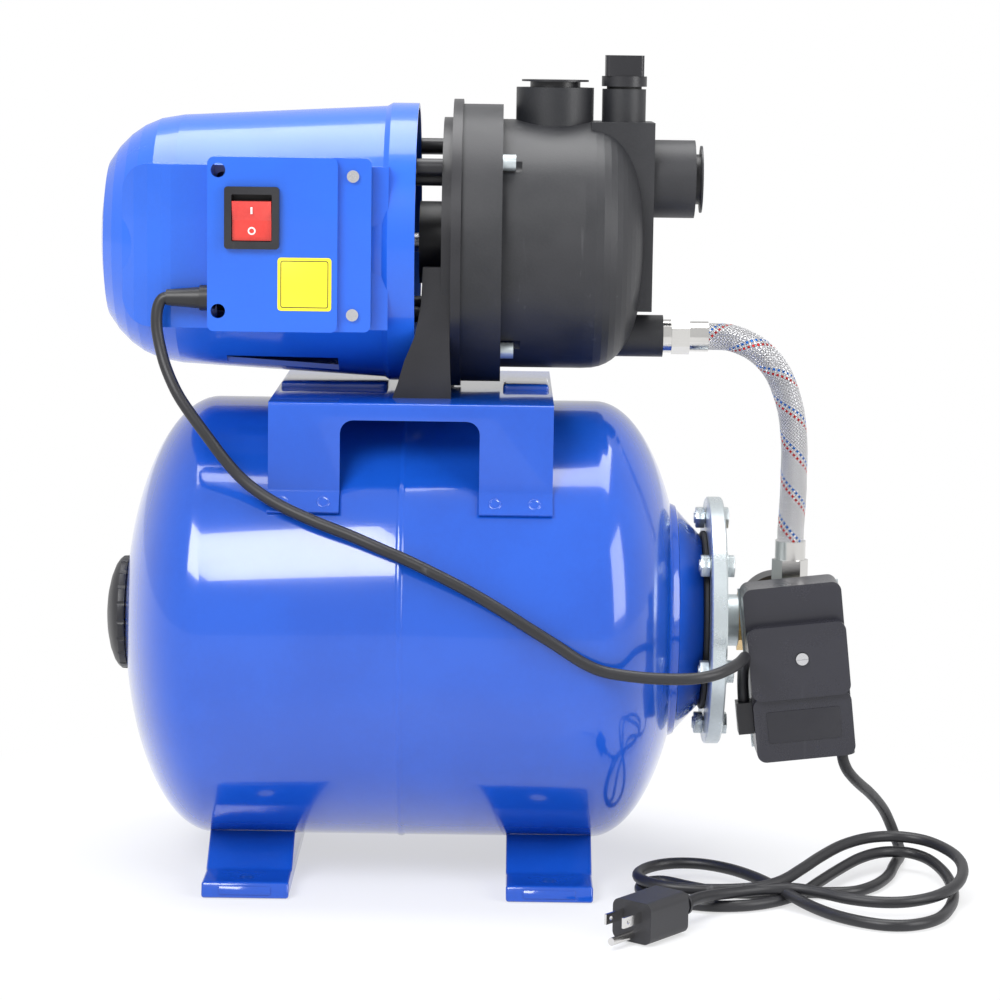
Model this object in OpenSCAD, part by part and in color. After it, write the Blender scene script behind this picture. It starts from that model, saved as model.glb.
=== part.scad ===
// Shallow-well booster pump set: a self-priming jet pump with its motor,
// bolted to a saddle bracket on a horizontal pressure tank, with a pressure
// switch, a gauge, a braided hose and a mains lead.
// Millimetres. +X runs along the motor shaft towards the suction port, -Y is
// the side with the rocker switch, +Z is up. The origin is on the ground under
// the middle of the set.

/* [Tank] */
// Outer radius of the tank
tank_r = 140; // [136:1:141]
// Half of the tank's length, tip to tip of its domed ends
tank_half = 178; // [174:1:180]
// Depth of each domed end
dome_depth = 58; // [50:1:64]
// Clear height under the tank
tank_clear = 18.5; // [17:0.5:20]
// Thickness of the tank's steel sheet
sheet = 2; // [1.5:0.1:2.5]
// Distance between the two feet, centre to centre
foot_pitch_x = 188; // [180:1:192]
// Distance between the two holes of one foot
foot_pitch_y = 190; // [184:1:196]
// Diameter of the holes in the feet
foot_hole_d = 9; // [7:0.5:10]

/* [Bracket] */
// Height of the bracket's top plate above the ground
plate_z = 307.5; // [306:0.5:308]
// Length of the bracket along the tank
bracket_len = 173; // [168:1:176]
// Height of the raised swages on the top plate
swage_h = 4; // [3:0.5:5]

/* [Pump and motor] */
// Height of the shaft above the ground
shaft_z = 399; // [399:0.5:401]
// Outer radius of the rim that joins casing and back plate
rim_r = 87.5; // [86:0.5:88]
// Radius of the casing body behind its domed end
body_r = 78.3; // [77:0.1:79]
// Radius of the motor cover at its open end
cover_r = 86; // [85:0.5:86.5]
// Radius of the motor cover at its closed end, before it rounds over
cover_end_r = 78; // [76:0.5:79]
// Radius of the thread in the suction and outlet ports, for a G1 pipe
port_r = 15.2; // [14.8:0.1:15.4]
// Outer radius of the suction and outlet ports
port_boss_r = 24.4; // [23.5:0.1:25]

/* [Switch, hose and lead] */
// Tilt of the pressure switch on its pipe, in degrees
switch_tilt = 6.5; // [0:0.5:9]
// Outside diameter of the braided hose
hose_d = 17; // [15:0.5:17.5]
// Diameter of the rubber leads
lead_d = 7.2; // [6.6:0.1:7.4]

/* [Hidden] */

$fn = 48;

// Places along the tank
tank_z = tank_clear + tank_r;
tank_mid_x = -48;
flange_x = 144.7;
flange_t = 10;
flange_r = 79.5;
flange_bolt_pcr = 66;
flange_turn = 19;
nipple_r = 16.6;

// Places along the shaft
back_x = -20;
rim_x = -14;
body_x = 11;
dome_x = 62;
casing_end_x = 100.5;
cover_end_x = -240;
cover_rim_x = -42;
suction_z = 42;
outlet_x = 43.3;
outlet_top = 98.5;
fill_x = 86.7;
fill_top = 98;
inlet_end_x = 132;
drain_z = -57.5;
casing_bolt_pcr = 83;
casing_bolt_turn = 50;

// Places of the switch, the gauge and the terminal box
fitting_x = 199;
switch_pivot = [fitting_x, -19, tank_z];
gauge_x = 195;
gauge_y = 46;
box_front_y = -100;
box_x = [-166.5, -68];
box_z = [349.5, 454.5];
rocker_pivot = [-139.5, box_front_y + 8, 418.2];

blue = [0.05, 0.25, 0.8];
black = [0.09, 0.09, 0.1];
steel = [0.75, 0.76, 0.78];
brass = [0.78, 0.62, 0.3];

// ---- routes of the leads and the hose: round numbers chosen by hand ----
motor_lead_route = [
    [-182, -92, 369], [-191.5, -92, 369], [-195.5, -92, 366.5], [-197.5, -92.5, 360], [-197.5, -93.5, 350],
    [-195, -96, 338], [-191, -100, 326], [-184, -105, 312], [-175, -108, 299], [-165, -110, 286],
    [-155, -111, 273], [-145, -112, 262], [-133, -115, 253], [-118, -119, 245], [-98, -124, 237],
    [-78, -128, 230], [-60, -132, 223], [-45, -134, 217], [-29, -137, 210], [-8, -140, 200],
    [12, -142.5, 189], [30, -144, 178], [48, -145, 167], [62, -145, 158], [76, -145, 152],
    [97, -145, 149], [115, -144.5, 148], [130, -142, 148], [142, -136, 149], [152, -126, 151],
    [159, -112, 152], [163, -97, 152], [165, -82, 150], [166, -69, 145.5], [166.3, -57.5, 138],
    [166.8, -49, 128], [167.7, -45.2, 116], [169, -45, 104]
];
mains_lead_route = [
    [231.5, -39, 85.5], [232.5, -38.5, 77], [235.5, -35, 69.5], [240, -28.5, 63], [246, -19, 56],
    [253, -7, 48.5], [260, 5, 40], [266.5, 15.5, 30.5], [271.5, 22, 20.5], [275, 22.5, 12],
    [277, 17, 6.5], [277, 8, 4], [275, -3, 3.6], [272, -13, 3.6]
];
hose_route = [
    [143, 0, 341.5], [150, 0, 341.5], [157, 0, 341], [165, 0, 338.5], [173, 0, 334.5],
    [181, 0, 328], [188, 0, 319], [193, 0, 308], [197, 0, 295], [199, 0, 282],
    [200, 0, 269], [200, 0, 256], [200, 0, 243], [199.5, 0, 230], [199, 0, 219], [199, 0, 211]
];

function unit(v) = v / norm(v);
function direction(p, i) = unit(p[min(i + 1, len(p) - 1)] - p[max(i - 1, 0)]);
// A sideways direction carried along the route without twisting
function carried(p, i) =
    let (t = direction(p, i), s = i == 0 ? cross([0.1, 1, 0.2], t) : carried(p, i - 1))
    unit(s - (s * t) * t);

// A round cord swept along a route, as one closed polyhedron
module swept(route, radius, sides) {
    rings = len(route);
    pts = [for (i = [0 : rings - 1], k = [0 : sides - 1])
        let (t = direction(route, i), u = carried(route, i), w = cross(t, u), a = 360 * k / sides)
        route[i] + radius * (cos(a) * u + sin(a) * w)];
    rows = [for (i = [0 : rings - 2], k = [0 : sides - 1])
        [i * sides + k, i * sides + (k + 1) % sides, sides]];
    polyhedron(points = pts, faces = concat(
        [[for (k = [0 : sides - 1]) k]],
        [for (q = rows) [q[0], q[0] + q[2], q[1]]],
        [for (q = rows) [q[1], q[0] + q[2], q[1] + q[2]]],
        [[for (k = [sides - 1 : -1 : 0]) (rings - 1) * sides + k]]
    ));
}

// A cylinder that starts at x and runs along +X
module bar_x(x, length, r) {
    translate([x, 0, 0]) rotate([0, 90, 0]) cylinder(h = length, r = r);
}
// A tube that starts at x and runs along +X
module tube_x(x, length, outer, inner) {
    difference() {
        bar_x(x, length, outer);
        bar_x(x - 1, length + 2, inner);
    }
}
// A body of revolution about X from a list of [x, r] corners
module turned_x(corners) {
    rotate([0, 90, 0]) rotate_extrude() polygon([for (c = corners) [c[1], c[0]]]);
}
// A hexagon bar along +X, across flats af
module hex_x(x, length, af) {
    translate([x, 0, 0]) rotate([0, 90, 0]) cylinder(h = length, r = af / sqrt(3), $fn = 6);
}
module at_shaft() { translate([0, 0, shaft_z]) children(); }
module at_tank() { translate([0, 0, tank_z]) children(); }
// Copies on a circle about the X axis
module ring_of(count, radius, turn) {
    for (i = [0 : count - 1])
        rotate([turn + i * 360 / count, 0, 0]) translate([0, -radius, 0]) children();
}
// A block with rounded upright corners
module round_block(size, r) {
    linear_extrude(size[2]) {
        translate([r, 0]) square([size[0] - 2 * r, size[1]]);
        translate([0, r]) square([size[0], size[1] - 2 * r]);
        for (x = [r, size[0] - r], y = [r, size[1] - r]) translate([x, y]) circle(r);
    }
}
// The same block lying with its front face towards -Y: width, height, depth
module front_block(x, y, z, width, height, depth, r) {
    translate([x, y + depth, z]) rotate([90, 0, 0]) round_block([width, height, depth], r);
}
// An outline in Y and Z, extruded along X from x
module strip_x(x, width, outline) {
    translate([x + width, 0, 0]) rotate([90, 0, -90]) linear_extrude(width)
        polygon([for (p = outline) [-p[0], p[1]]]);
}

// ---- tank ----
tank_tip = tank_half - dome_depth;
// Points of an oval end: radius from full to none as x runs outwards, seen from the middle
function dome_points(r, depth, from_a, to_a, n) =
    [for (i = [0 : n]) let (a = from_a + (to_a - from_a) * i / n) [depth * sin(a), r * cos(a)]];

neck_r = 75;
mouth_r = 45;
neck_a = acos(neck_r / tank_r);
module tank_shell_left() color(blue)
    at_tank() translate([tank_mid_x, 0, 0]) mirror([1, 0, 0]) turned_x(concat(
        [[0, tank_r - sheet], [0, tank_r]],
        [for (p = dome_points(tank_r, dome_depth, 0, 88, 15)) [tank_tip + p[0], p[1]]],
        [for (p = dome_points(tank_r - sheet, dome_depth - sheet, 88, 0, 15)) [tank_tip + p[0], p[1]]]
    ));
module tank_shell_right() color(blue)
    at_tank() translate([tank_mid_x, 0, 0]) turned_x(concat(
        [[0.2, tank_r - sheet], [0.2, tank_r]],
        [for (p = dome_points(tank_r, dome_depth, 0, neck_a, 10)) [tank_tip + p[0], p[1]]],
        [[123.5 - tank_mid_x, neck_r], [141.5 - tank_mid_x, 54], [141.5 - tank_mid_x, mouth_r],
            [120.5 - tank_mid_x, mouth_r], [120.5 - tank_mid_x, neck_r - sheet]],
        [for (p = dome_points(tank_r - sheet, dome_depth - sheet, neck_a - 2, 0, 10))
            [tank_tip + p[0], p[1]]]
    ));

foot_w = 54;
foot_l = 112;
foot_h = 9.5;
module foot() {
    outer = [[-foot_l, 0], [-foot_l + 4, foot_h], [-76, foot_h], [-46, 29],
        [46, 29], [76, foot_h], [foot_l - 4, foot_h], [foot_l, 0]];
    inner = [[-foot_l + 2.7, -1], [-foot_l + 6, foot_h - 2.5], [-75, foot_h - 2.5], [-45, 26],
        [45, 26], [75, foot_h - 2.5], [foot_l - 6, foot_h - 2.5], [foot_l - 2.7, -1]];
    difference() {
        strip_x(-foot_w / 2, foot_w, outer);
        difference() {
            strip_x(-foot_w / 2 + 2.5, foot_w - 5, inner);
            at_tank() bar_x(-foot_w, 2 * foot_w, tank_r + 2.7);
        }
        at_tank() bar_x(-foot_w, 2 * foot_w, tank_r + 0.2);
        for (y = [-1, 1]) translate([0, y * foot_pitch_y / 2, 0])
            cylinder(h = 2 * foot_h, d = foot_hole_d);
    }
}
module tank_feet() color(blue)
    for (s = [-1, 1]) translate([tank_mid_x + s * foot_pitch_x / 2, 0, 0]) foot();

// ---- saddle bracket ----
bracket_x = -129;
leg_y = 105;
leg_a = asin(leg_y / tank_r);
tab_l = 14;
module bracket_side() {
    tab = [-cos(leg_a), -sin(leg_a)];
    out = [-sin(leg_a), cos(leg_a)];
    root = [-leg_y, tank_z + tank_r * cos(leg_a)] + 0.25 * out;
    strip_x(bracket_x, bracket_len, [
        [-leg_y, plate_z], root + 2 * out + [1.7, 1.7], root + sheet * out,
        root + sheet * out + tab_l * tab, root + tab_l * tab, root,
        root + [2.2, 2.55], [-leg_y + sheet, plate_z]
    ]);
}
module bracket_swage(x, length) {
    difference() {
        translate([x, -22, plate_z - sheet]) cube([length, 44, swage_h + sheet]);
        translate([x + sheet, -22 + sheet, plate_z - sheet - 1])
            cube([length - 2 * sheet, 44 - 2 * sheet, swage_h + 1]);
    }
}
module pump_bracket() color(blue) {
    difference() {
        union() {
            translate([bracket_x, -leg_y, plate_z - sheet]) cube([bracket_len, 2 * leg_y, sheet]);
            bracket_side();
            mirror([0, 1, 0]) bracket_side();
        }
        front_block(-85.5, -140, 200, 84.8, 97, 280, 8);
        for (x = [-125, 15]) translate([x, -20, plate_z - 10]) cube([x < 0 ? 63 : 25, 40, 20]);
        for (y = [-50, 50]) translate([-33, y, plate_z - 10]) cylinder(h = 20, r = 3.3);
    }
    bracket_swage(-127, 67);
    bracket_swage(13, 29);
}

// ---- tank flange, bladder and air valve ----
module tank_flange() color(steel)
    at_tank() difference() {
        bar_x(flange_x, flange_t, flange_r);
        bar_x(flange_x - 1, flange_t + 2, nipple_r + 0.05);
        ring_of(6, flange_bolt_pcr, flange_turn) bar_x(flange_x - 1, flange_t + 2, 4.3);
    }
module flange_bolts() color(steel)
    at_tank() ring_of(6, flange_bolt_pcr, flange_turn) {
        bar_x(flange_x - 7.5, flange_t + 7.5, 4);
        hex_x(flange_x + flange_t, 5.5, 13);
    }
module flange_nuts() color(steel)
    at_tank() ring_of(6, flange_bolt_pcr, flange_turn) difference() {
        hex_x(flange_x - 6.5, 6.5, 13);
        bar_x(flange_x - 8, 9, 4.05);
    }
module tank_membrane() color([0.12, 0.12, 0.12])
    at_tank() turned_x([
        [-190, 0], [-182, 55], [-160, 100], [-120, 124], [30, 124], [70, 110], [95, 80], [108, 44.5],
        [141.6, 44.5], [141.6, 56], [flange_x, 56], [flange_x, 42], [110, 42], [93, 77], [68, 107],
        [29, 122], [-119, 122], [-158, 98], [-180, 54], [-188, 0]
    ]);
module air_valve() color(brass)
    at_tank() {
        bar_x(-238, 26, 4);
        hex_x(-230, 4, 14);
    }
module valve_cap() color(black)
    at_tank() difference() {
        turned_x([[-239.5, 0], [-239, 16], [-236.5, 28], [-232, 35.5], [-228, 36.5], [-224.9, 36.5],
            [-224.9, 33], [-227, 30], [-228.2, 18], [-228.2, 0]]);
        bar_x(-238.3, 20, 10);
    }

// ---- pipe nipple, five-way fitting and gauge ----
module pipe_nipple() color(steel)
    at_tank() tube_x(flange_x + 1, 20.2, nipple_r, 12.5);
module five_way_fitting() color(brass)
    at_tank() difference() {
        union() {
            hex_x(166, 8, 34);
            bar_x(174, 46, 14.5);
            hex_x(220, 12, 30);
            translate([fitting_x, 0, 0]) cylinder(h = 27, r = 11);
            translate([fitting_x, 0, 0]) rotate([90, 0, 0]) cylinder(h = 19, r = 8);
            translate([gauge_x, 0, 0]) rotate([-90, 0, 0]) cylinder(h = 28, r = 7);
        }
        bar_x(165, 58, 10);
        bar_x(222, 11, 9.5);
        translate([fitting_x, 0, 0]) cylinder(h = 28, r = 7);
        translate([fitting_x, 0, 0]) rotate([90, 0, 0]) cylinder(h = 20, r = 5.1);
    }
module gauge_case() color(black)
    at_tank() translate([gauge_x, 28.2, 0]) rotate([-90, 0, 0]) difference() {
        union() {
            cylinder(h = 5, r = 6.5);
            translate([0, 0, 5]) cylinder(h = 21, r = 24.5);
        }
        translate([0, 0, 8]) cylinder(h = 20, r = 22.5);
    }
module gauge_dial() color("white")
    at_tank() translate([gauge_x, 36.4, 0]) rotate([-90, 0, 0]) cylinder(h = 8, r = 22.2);
module gauge_pointer() color("black")
    at_tank() translate([gauge_x, 44.8, 0]) rotate([-90, 0, 0]) rotate([0, 0, -45]) {
        cylinder(h = 3, r = 3);
        translate([-1, -2, 0.5]) cube([2, 19, 1]);
    }
module gauge_glass() color([0.8, 0.85, 0.9, 0.4])
    at_tank() translate([gauge_x, 50, 0]) rotate([-90, 0, 0]) cylinder(h = 3, r = 22.3);

// ---- pressure switch ----
// Drawn upright about its pipe port, then tilted on the port
module at_switch() {
    translate(switch_pivot) rotate([0, -switch_tilt, 0]) children();
}
switch_w = 62;
switch_low = -78;
switch_high = 32;
module switch_base() color(steel)
    at_switch() difference() {
        union() {
            translate([-switch_w / 2 - 1, -4, switch_low + 3]) cube([switch_w + 2, 2, 103]);
            for (x = [-19.5, 17]) translate([x, -17, 18]) cube([2.5, 14, 10]);
        }
        translate([0, -5, 0]) rotate([-90, 0, 0]) cylinder(h = 6, r = 5.2);
        translate([-25, -12.5, 24]) rotate([0, 90, 0]) cylinder(h = 50, r = 2.05);
    }
module switch_cover() color(black)
    at_switch() difference() {
        union() {
            front_block(-switch_w / 2, -34, switch_low, switch_w, 110, 30, 6);
            front_block(-switch_w / 2, -44, -38, switch_w, 46.5, 11, 6);
            front_block(-switch_w / 2, -40, switch_low, switch_w, 41, 7, 6);
        }
        front_block(-switch_w / 2 + 2, -31, switch_low + 2, switch_w - 4, 106, 28, 4);
        translate([2, -50, -13]) rotate([-90, 0, 0]) cylinder(h = 20, r = 4.2);
        translate([24, -20, switch_low - 1]) cylinder(h = 4, r = 4.95);
    }
module switch_cover_screw() color(steel)
    at_switch() {
        translate([2, -45.5, -13]) rotate([-90, 0, 0]) difference() {
            cylinder(h = 2.5, r = 3.9);
            translate([-4, -0.6, -1]) cube([8, 1.2, 2]);
        }
        translate([2, -43, -13]) rotate([-90, 0, 0]) cylinder(h = 38.9, r = 2);
    }
module switch_glands() color(black)
    at_switch() {
        translate([-switch_w / 2 - 10, -33, -60]) difference() {
            cube([9.8, 14, 20]);
            translate([5, 7, 5]) cylinder(h = 16, r = lead_d / 2 + 0.3);
        }
        translate([24, -20, switch_low - 3]) difference() {
            union() {
                cylinder(h = 3, r = 8);
                cylinder(h = 5, r = 4.9);
            }
            translate([0, 0, -1]) cylinder(h = 7, r = lead_d / 2 + 0.3);
        }
    }
module switch_diaphragm() color(steel)
    at_switch() rotate([-90, 0, 0]) difference() {
        union() {
            translate([0, 0, -2]) cylinder(h = 2, r = 15);
            translate([0, 0, -6.5]) cylinder(h = 7.5, r = 5);
        }
        translate([0, 0, -3]) cylinder(h = 9, r = 2.5);
    }
module switch_lever() color(steel)
    at_switch() {
        translate([-16, -14, 23.5]) cube([32, 4, 3]);
        difference() {
            translate([-16, -11, -20]) cube([32, 1.5, 44]);
            translate([2, -12, -13]) rotate([-90, 0, 0]) cylinder(h = 4, r = 5);
        }
        translate([-20, -12.5, 24]) rotate([0, 90, 0]) cylinder(h = 40, r = 2);
    }
module contact_block() color([0.55, 0.25, 0.12])
    at_switch() difference() {
        translate([-24, -27, -70]) cube([40, 22, 44]);
        for (i = [0 : 3]) translate([-22 + 10 * i, -28, -60]) cube([7, 8, 24]);
    }

// ---- hose ----
module pressure_hose() color([0.8, 0.8, 0.82]) swept(hose_route, hose_d / 2, 12);
module hose_ends() color(steel) {
    translate([0, 0, 341.5]) {
        difference() {
            hex_x(119.6, 11.4, 20);
            bar_x(119, 13, 8);
        }
        tube_x(131, 12, 9.6, 7);
    }
    translate([fitting_x, 0, 0]) {
        translate([0, 0, 199]) difference() {
            cylinder(h = 12, r = 9.8);
            translate([0, 0, -1]) cylinder(h = 14, r = 7);
        }
        translate([0, 0, tank_z + 27]) difference() {
            cylinder(h = 199 - tank_z - 27, r = 11.6, $fn = 6);
            translate([0, 0, -1]) cylinder(h = 16, r = 6);
        }
    }
}
module hose_adapter() color(steel)
    translate([0, 0, 341.5]) {
        difference() {
            union() {
                bar_x(114, 5.5, 10.6);
                bar_x(102, 15, 4.9);
            }
            bar_x(101, 20, 3);
        }
    }

// ---- pump ----
module port_cap() {
    translate([0, 0, 3.6]) cylinder(h = 1.2, r = 21.1);
    translate([0, 0, -4.8]) cylinder(h = 8.4, r = 15.8);
}
// Domed end of the casing: x runs from the body to the tip
function casing_nose(r, depth, n) =
    [for (i = [0 : n]) let (a = 90 * i / n)
        [dome_x + depth * pow(sin(a), 0.8), r * pow(cos(a), 0.72)]];
suction_w = 29;
module casing_shell(wall) {
    turned_x(concat([[rim_x - 1, 0], [rim_x - 1, body_r - wall]],
        [for (p = casing_nose(body_r - wall, casing_end_x - dome_x - wall, 12)) p]));
}
module pump_casing() color(black)
    at_shaft() difference() {
        union() {
            bar_x(rim_x, body_x - rim_x, rim_r);
            turned_x(concat([[body_x, 0], [body_x, body_r]],
                casing_nose(body_r, casing_end_x - dome_x, 14)));
            translate([66, -suction_w, -40]) cube([39.5, 2 * suction_w, 117.5]);
            translate([outlet_x, 0, 60]) cylinder(h = outlet_top - 60, r = port_boss_r);
            translate([fill_x, 0, 70]) cylinder(h = fill_top - 70, r = 13.8);
            translate([0, 0, suction_z]) bar_x(100, inlet_end_x - 100, port_boss_r + 0.1);
            translate([0, 0, drain_z]) bar_x(60, 54, 13.3);
        }
        difference() {
            intersection() {
                casing_shell(5);
                translate([-20, -90, -90]) cube([100, 180, 180]);
            }
            translate([60, -40, -38]) cube([58, 80, 150]);
            translate([0, 0, drain_z]) bar_x(50, 60, 16);
        }
        translate([71, -suction_w + 5, -35]) cube([29.5, 2 * suction_w - 10, 107.5]);
        bar_x(57, 16, 5);
        translate([outlet_x, 0, 55]) cylinder(h = 60, r = port_r);
        translate([outlet_x, 0, outlet_top - 5]) cylinder(h = 8, r = 16.3);
        translate([fill_x, 0, 60]) cylinder(h = 50, r = 8);
        translate([0, 0, suction_z]) {
            bar_x(95, 45, port_r);
            bar_x(inlet_end_x - 5, 8, 16.3);
        }
        translate([0, 0, drain_z]) bar_x(50, 70, 5);
        ring_of(4, casing_bolt_pcr - 0.5, casing_bolt_turn) {
            bar_x(rim_x - 1, 30, 2.6);
            bar_x(body_x, 12, 6.2);
        }
        bar_x(rim_x - 1, 4, 77.5);
    }
module casing_bolts() color(steel)
    at_shaft() ring_of(4, casing_bolt_pcr - 0.5, casing_bolt_turn) {
        bar_x(body_x, 8, 5);
        bar_x(rim_x - 5, body_x - rim_x + 5, 2.5);
    }
module casing_seal() color("black")
    at_shaft() tube_x(rim_x + 0.1, 2.7, 77.2, 74);
module back_plate() color(black)
    at_shaft() difference() {
        union() {
            bar_x(back_x, 6, 90.5);
            bar_x(rim_x, 2.7, 73.8);
        }
        bar_x(back_x - 1, 20, 14);
        ring_of(4, casing_bolt_pcr - 0.5, casing_bolt_turn) bar_x(rim_x - 5.2, 6, 2.6);
    }
module diffuser() color([0.85, 0.83, 0.75])
    at_shaft() difference() {
        union() {
            bar_x(4, 16, 62);
            turned_x([[20, 0], [20, 62], [30, 50], [34, 17], [34, 0]]);
        }
        bar_x(3, 15, 59);
        bar_x(3, 40, 13);
        for (i = [0 : 5]) rotate([60 * i, 0, 0]) translate([10, 50, 0]) cube([40, 6, 10], center = true);
    }
module jet_nozzle() color([0.85, 0.83, 0.75])
    at_shaft() difference() {
        union() {
            turned_x([[34.2, 0], [34.2, 12], [50, 9], [57.5, 16], [57.5, 0]]);
            bar_x(34.2, 4, 16);
        }
        bar_x(33, 30, 5);
    }
module impeller() color(brass)
    at_shaft() {
        difference() {
            union() {
                bar_x(-3, 3, 56);
                tube_x(2.8, 1.8, 56, 15);
                tube_x(3, 7, 17, 15);
                for (i = [0 : 5]) rotate([60 * i, 0, 0])
                    translate([-0.2, 13, -1]) cube([3.2, 40, 2.2]);
                bar_x(-9, 10, 10);
            }
            bar_x(-10, 30, 6);
        }
    }
module shaft_seal() color("dimgray")
    at_shaft() difference() {
        union() {
            bar_x(-16, 6.8, 11);
            bar_x(-18.6, 2.6, 9);
        }
        bar_x(-20, 12, 6);
    }
module seal_seat() color("ivory")
    at_shaft() tube_x(-23.4, 4.6, 13.8, 7);
module motor_foot() color(black) {
    ear = [[-55, plate_z], [-19, plate_z], [-20.2, 340], [-20.2, 388], [-37, 388], [-38, 365],
        [-41.4, 346], [-48, 330], [-52, 316]];
    difference() {
        union() {
            for (y = [-1, 1]) mirror([0, y > 0 ? 1 : 0, 0])
                translate([0, -66, 0]) rotate([90, 0, 0]) linear_extrude(8) polygon(ear);
            translate([-26, -66, plate_z + swage_h + 4.5]) cube([5.8, 132, 72]);
            for (y = [-66, 30]) translate([-41.5, y, plate_z]) cube([21.3, 36, 6]);
            at_shaft() bar_x(-26, 5.8, 79);
            at_shaft() ring_of(4, 77, casing_bolt_turn) bar_x(-41.8, 16, 5.3);
            at_shaft() bar_x(-40.8, 16, 26);
            at_shaft() ring_of(4, 60, 45) bar_x(-89.8, 65, 5);
        }
        at_shaft() {
            bar_x(-50, 40, 14);
            bar_x(-41, 9.3, 20.1);
            for (i = [0 : 5]) rotate([60 * i, 0, 0]) translate([-27, 34, -10]) cube([8, 26, 20]);
        }
        for (y = [-50, 50]) translate([-33, y, plate_z - 1]) cylinder(h = 8, r = 3.3);
    }
}
module foot_bolts() color(steel)
    for (y = [-50, 50]) translate([-33, y, 0]) {
        translate([0, 0, plate_z - 9]) cylinder(h = 17, r = 3);
        translate([0, 0, plate_z + 6]) cylinder(h = 4, r = 5.7, $fn = 6);
        translate([0, 0, plate_z - sheet - 5]) cylinder(h = 5, r = 5.7, $fn = 6);
    }
module outlet_cap() color(black)
    at_shaft() translate([outlet_x, 0, outlet_top]) port_cap();
module inlet_cap() color(black)
    at_shaft() translate([inlet_end_x, 0, suction_z]) rotate([0, 90, 0]) port_cap();
module fill_plug() color(black)
    at_shaft() translate([fill_x, 0, fill_top]) {
        translate([0, 0, -16]) cylinder(h = 18, r = 7.7);
        translate([0, 0, 1.6]) cylinder(h = 6.4, r = 14.2);
        translate([-12, -12, 8]) round_block([24, 24, 13], 2.5);
    }
module fill_plug_seal() color("black")
    at_shaft() translate([fill_x, 0, fill_top]) difference() {
        cylinder(h = 1.6, r = 11);
        translate([0, 0, -1]) cylinder(h = 4, r = 7.9);
    }

// ---- motor ----
module rotor_shaft() color(steel) at_shaft() bar_x(-214, 224, 6);
module rotor_core() color([0.6, 0.6, 0.62])
    at_shaft() {
        tube_x(-150, 60, 30, 6);
        for (x = [-156, -90]) tube_x(x, 6, 28, 12);
    }
module stator_core() color([0.5, 0.5, 0.52])
    at_shaft() difference() {
        bar_x(-150, 60, 62);
        bar_x(-151, 62, 31);
        for (i = [0 : 11]) rotate([30 * i, 0, 0]) translate([-152, 36, -4]) cube([64, 14, 8]);
    }
module stator_windings() color([0.72, 0.4, 0.2])
    at_shaft() for (x = [-165, -89.8]) turned_x([
        [x, 38], [x, 50], [x + 3, 54], [x + 12, 54], [x + 14.8, 51], [x + 14.8, 36], [x + 4, 34]
    ]);
module ball_bearings() color(steel)
    at_shaft() for (x = [-40.9, -186]) {
        tube_x(x, 9, 20, 16.5);
        tube_x(x, 9, 10, 6.05);
        tube_x(x + 1, 7, 16.4, 10.1);
    }
module end_shield() color([0.7, 0.71, 0.72])
    at_shaft() difference() {
        union() {
            bar_x(-186, 5, 66);
            bar_x(-190, 14, 26);
            ring_of(4, 60, 45) bar_x(-181, 30.8, 5);
        }
        bar_x(-186, 20, 20.1);
        bar_x(-191, 20, 9);
        for (i = [0 : 3]) rotate([90 * i, 0, 0]) translate([-190, 30, -16]) cube([12, 24, 32]);
    }
module cooling_fan() color(black)
    at_shaft() difference() {
        union() {
            bar_x(-212, 12, 13);
            bar_x(-200, 2, 58);
            for (i = [0 : 6]) rotate([360 * i / 7, 0, 0])
                translate([-211, 10, -1]) cube([11.5, 46, 2]);
        }
        bar_x(-213, 20, 6);
    }
cover_outline = [
    [cover_end_x, 0], [-239, 30], [-235.8, 49.5], [-229.5, 58.5], [-222, 66], [-214, 71.5],
    [-204, 75.8], [-190, cover_end_r + 0.3], [-62, cover_r - 0.5], [-58.6, rim_r], [cover_rim_x, rim_r]
];
fairing_y = -84;
// Flat land on the side of the cover that carries the terminal box
module cover_fairing() {
    intersection() {
        translate([0, 0, 350]) linear_extrude(99) polygon([
            [-222, -64], [-214, -72], [-205, -79], [-196, -83], [-190, fairing_y], [-58, fairing_y],
            [-58, -30], [-222, -30]
        ]);
        front_block(-222, -90, 350, 190, 99, 80, 18);
    }
}
module motor_cover() color(blue)
    difference() {
        union() {
            at_shaft() turned_x(concat(cover_outline, [[cover_rim_x, 0]]));
            cover_fairing();
        }
        at_shaft() turned_x([
            [cover_rim_x + 1, 0], [cover_rim_x + 1, rim_r - 3], [-60, rim_r - 3], [-63, cover_r - 3.5],
            [-190, cover_end_r - 2.7], [-203, 73], [-212, 69], [-220, 63.5], [-227, 56.5], [-233, 48],
            [-236, 29], [-237, 0]
        ]);
        front_block(-162, -86, 353, 72, 92, 20, 3);
        for (s = [-1, 1]) translate([-160, s * 40 - 12, shaft_z - 95]) cube([70, 24, 25]);
    }
box_w = box_x[1] - box_x[0];
box_h = box_z[1] - box_z[0];
module terminal_box() color(blue)
    difference() {
        union() {
            front_block(box_x[0], box_front_y, box_z[0], 78.5, box_h, 15.8, 4);
            front_block(box_x[0] + 10, box_front_y + 5, box_z[0], box_w - 10, box_h, 9.6, 4);
        }
        front_block(box_x[0] + 3, box_front_y + 3.5, box_z[0] + 3, 72, box_h - 6, 20, 3);
        front_block(-153.2, box_front_y - 1, 402.5, 27.4, 31.4, 10, 1);
        for (z = [361.7, 446.5]) translate([-160, box_front_y - 1, z]) rotate([-90, 0, 0])
            cylinder(h = 12, r = 4.4);
        for (z = [360, 443.6]) translate([-79, box_front_y, z]) rotate([-90, 0, 0])
            cylinder(h = 60, r = 1.6);
        translate([-168, -92, 369]) rotate([0, 90, 0]) cylinder(h = 6, r = 6.6);
    }
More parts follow.
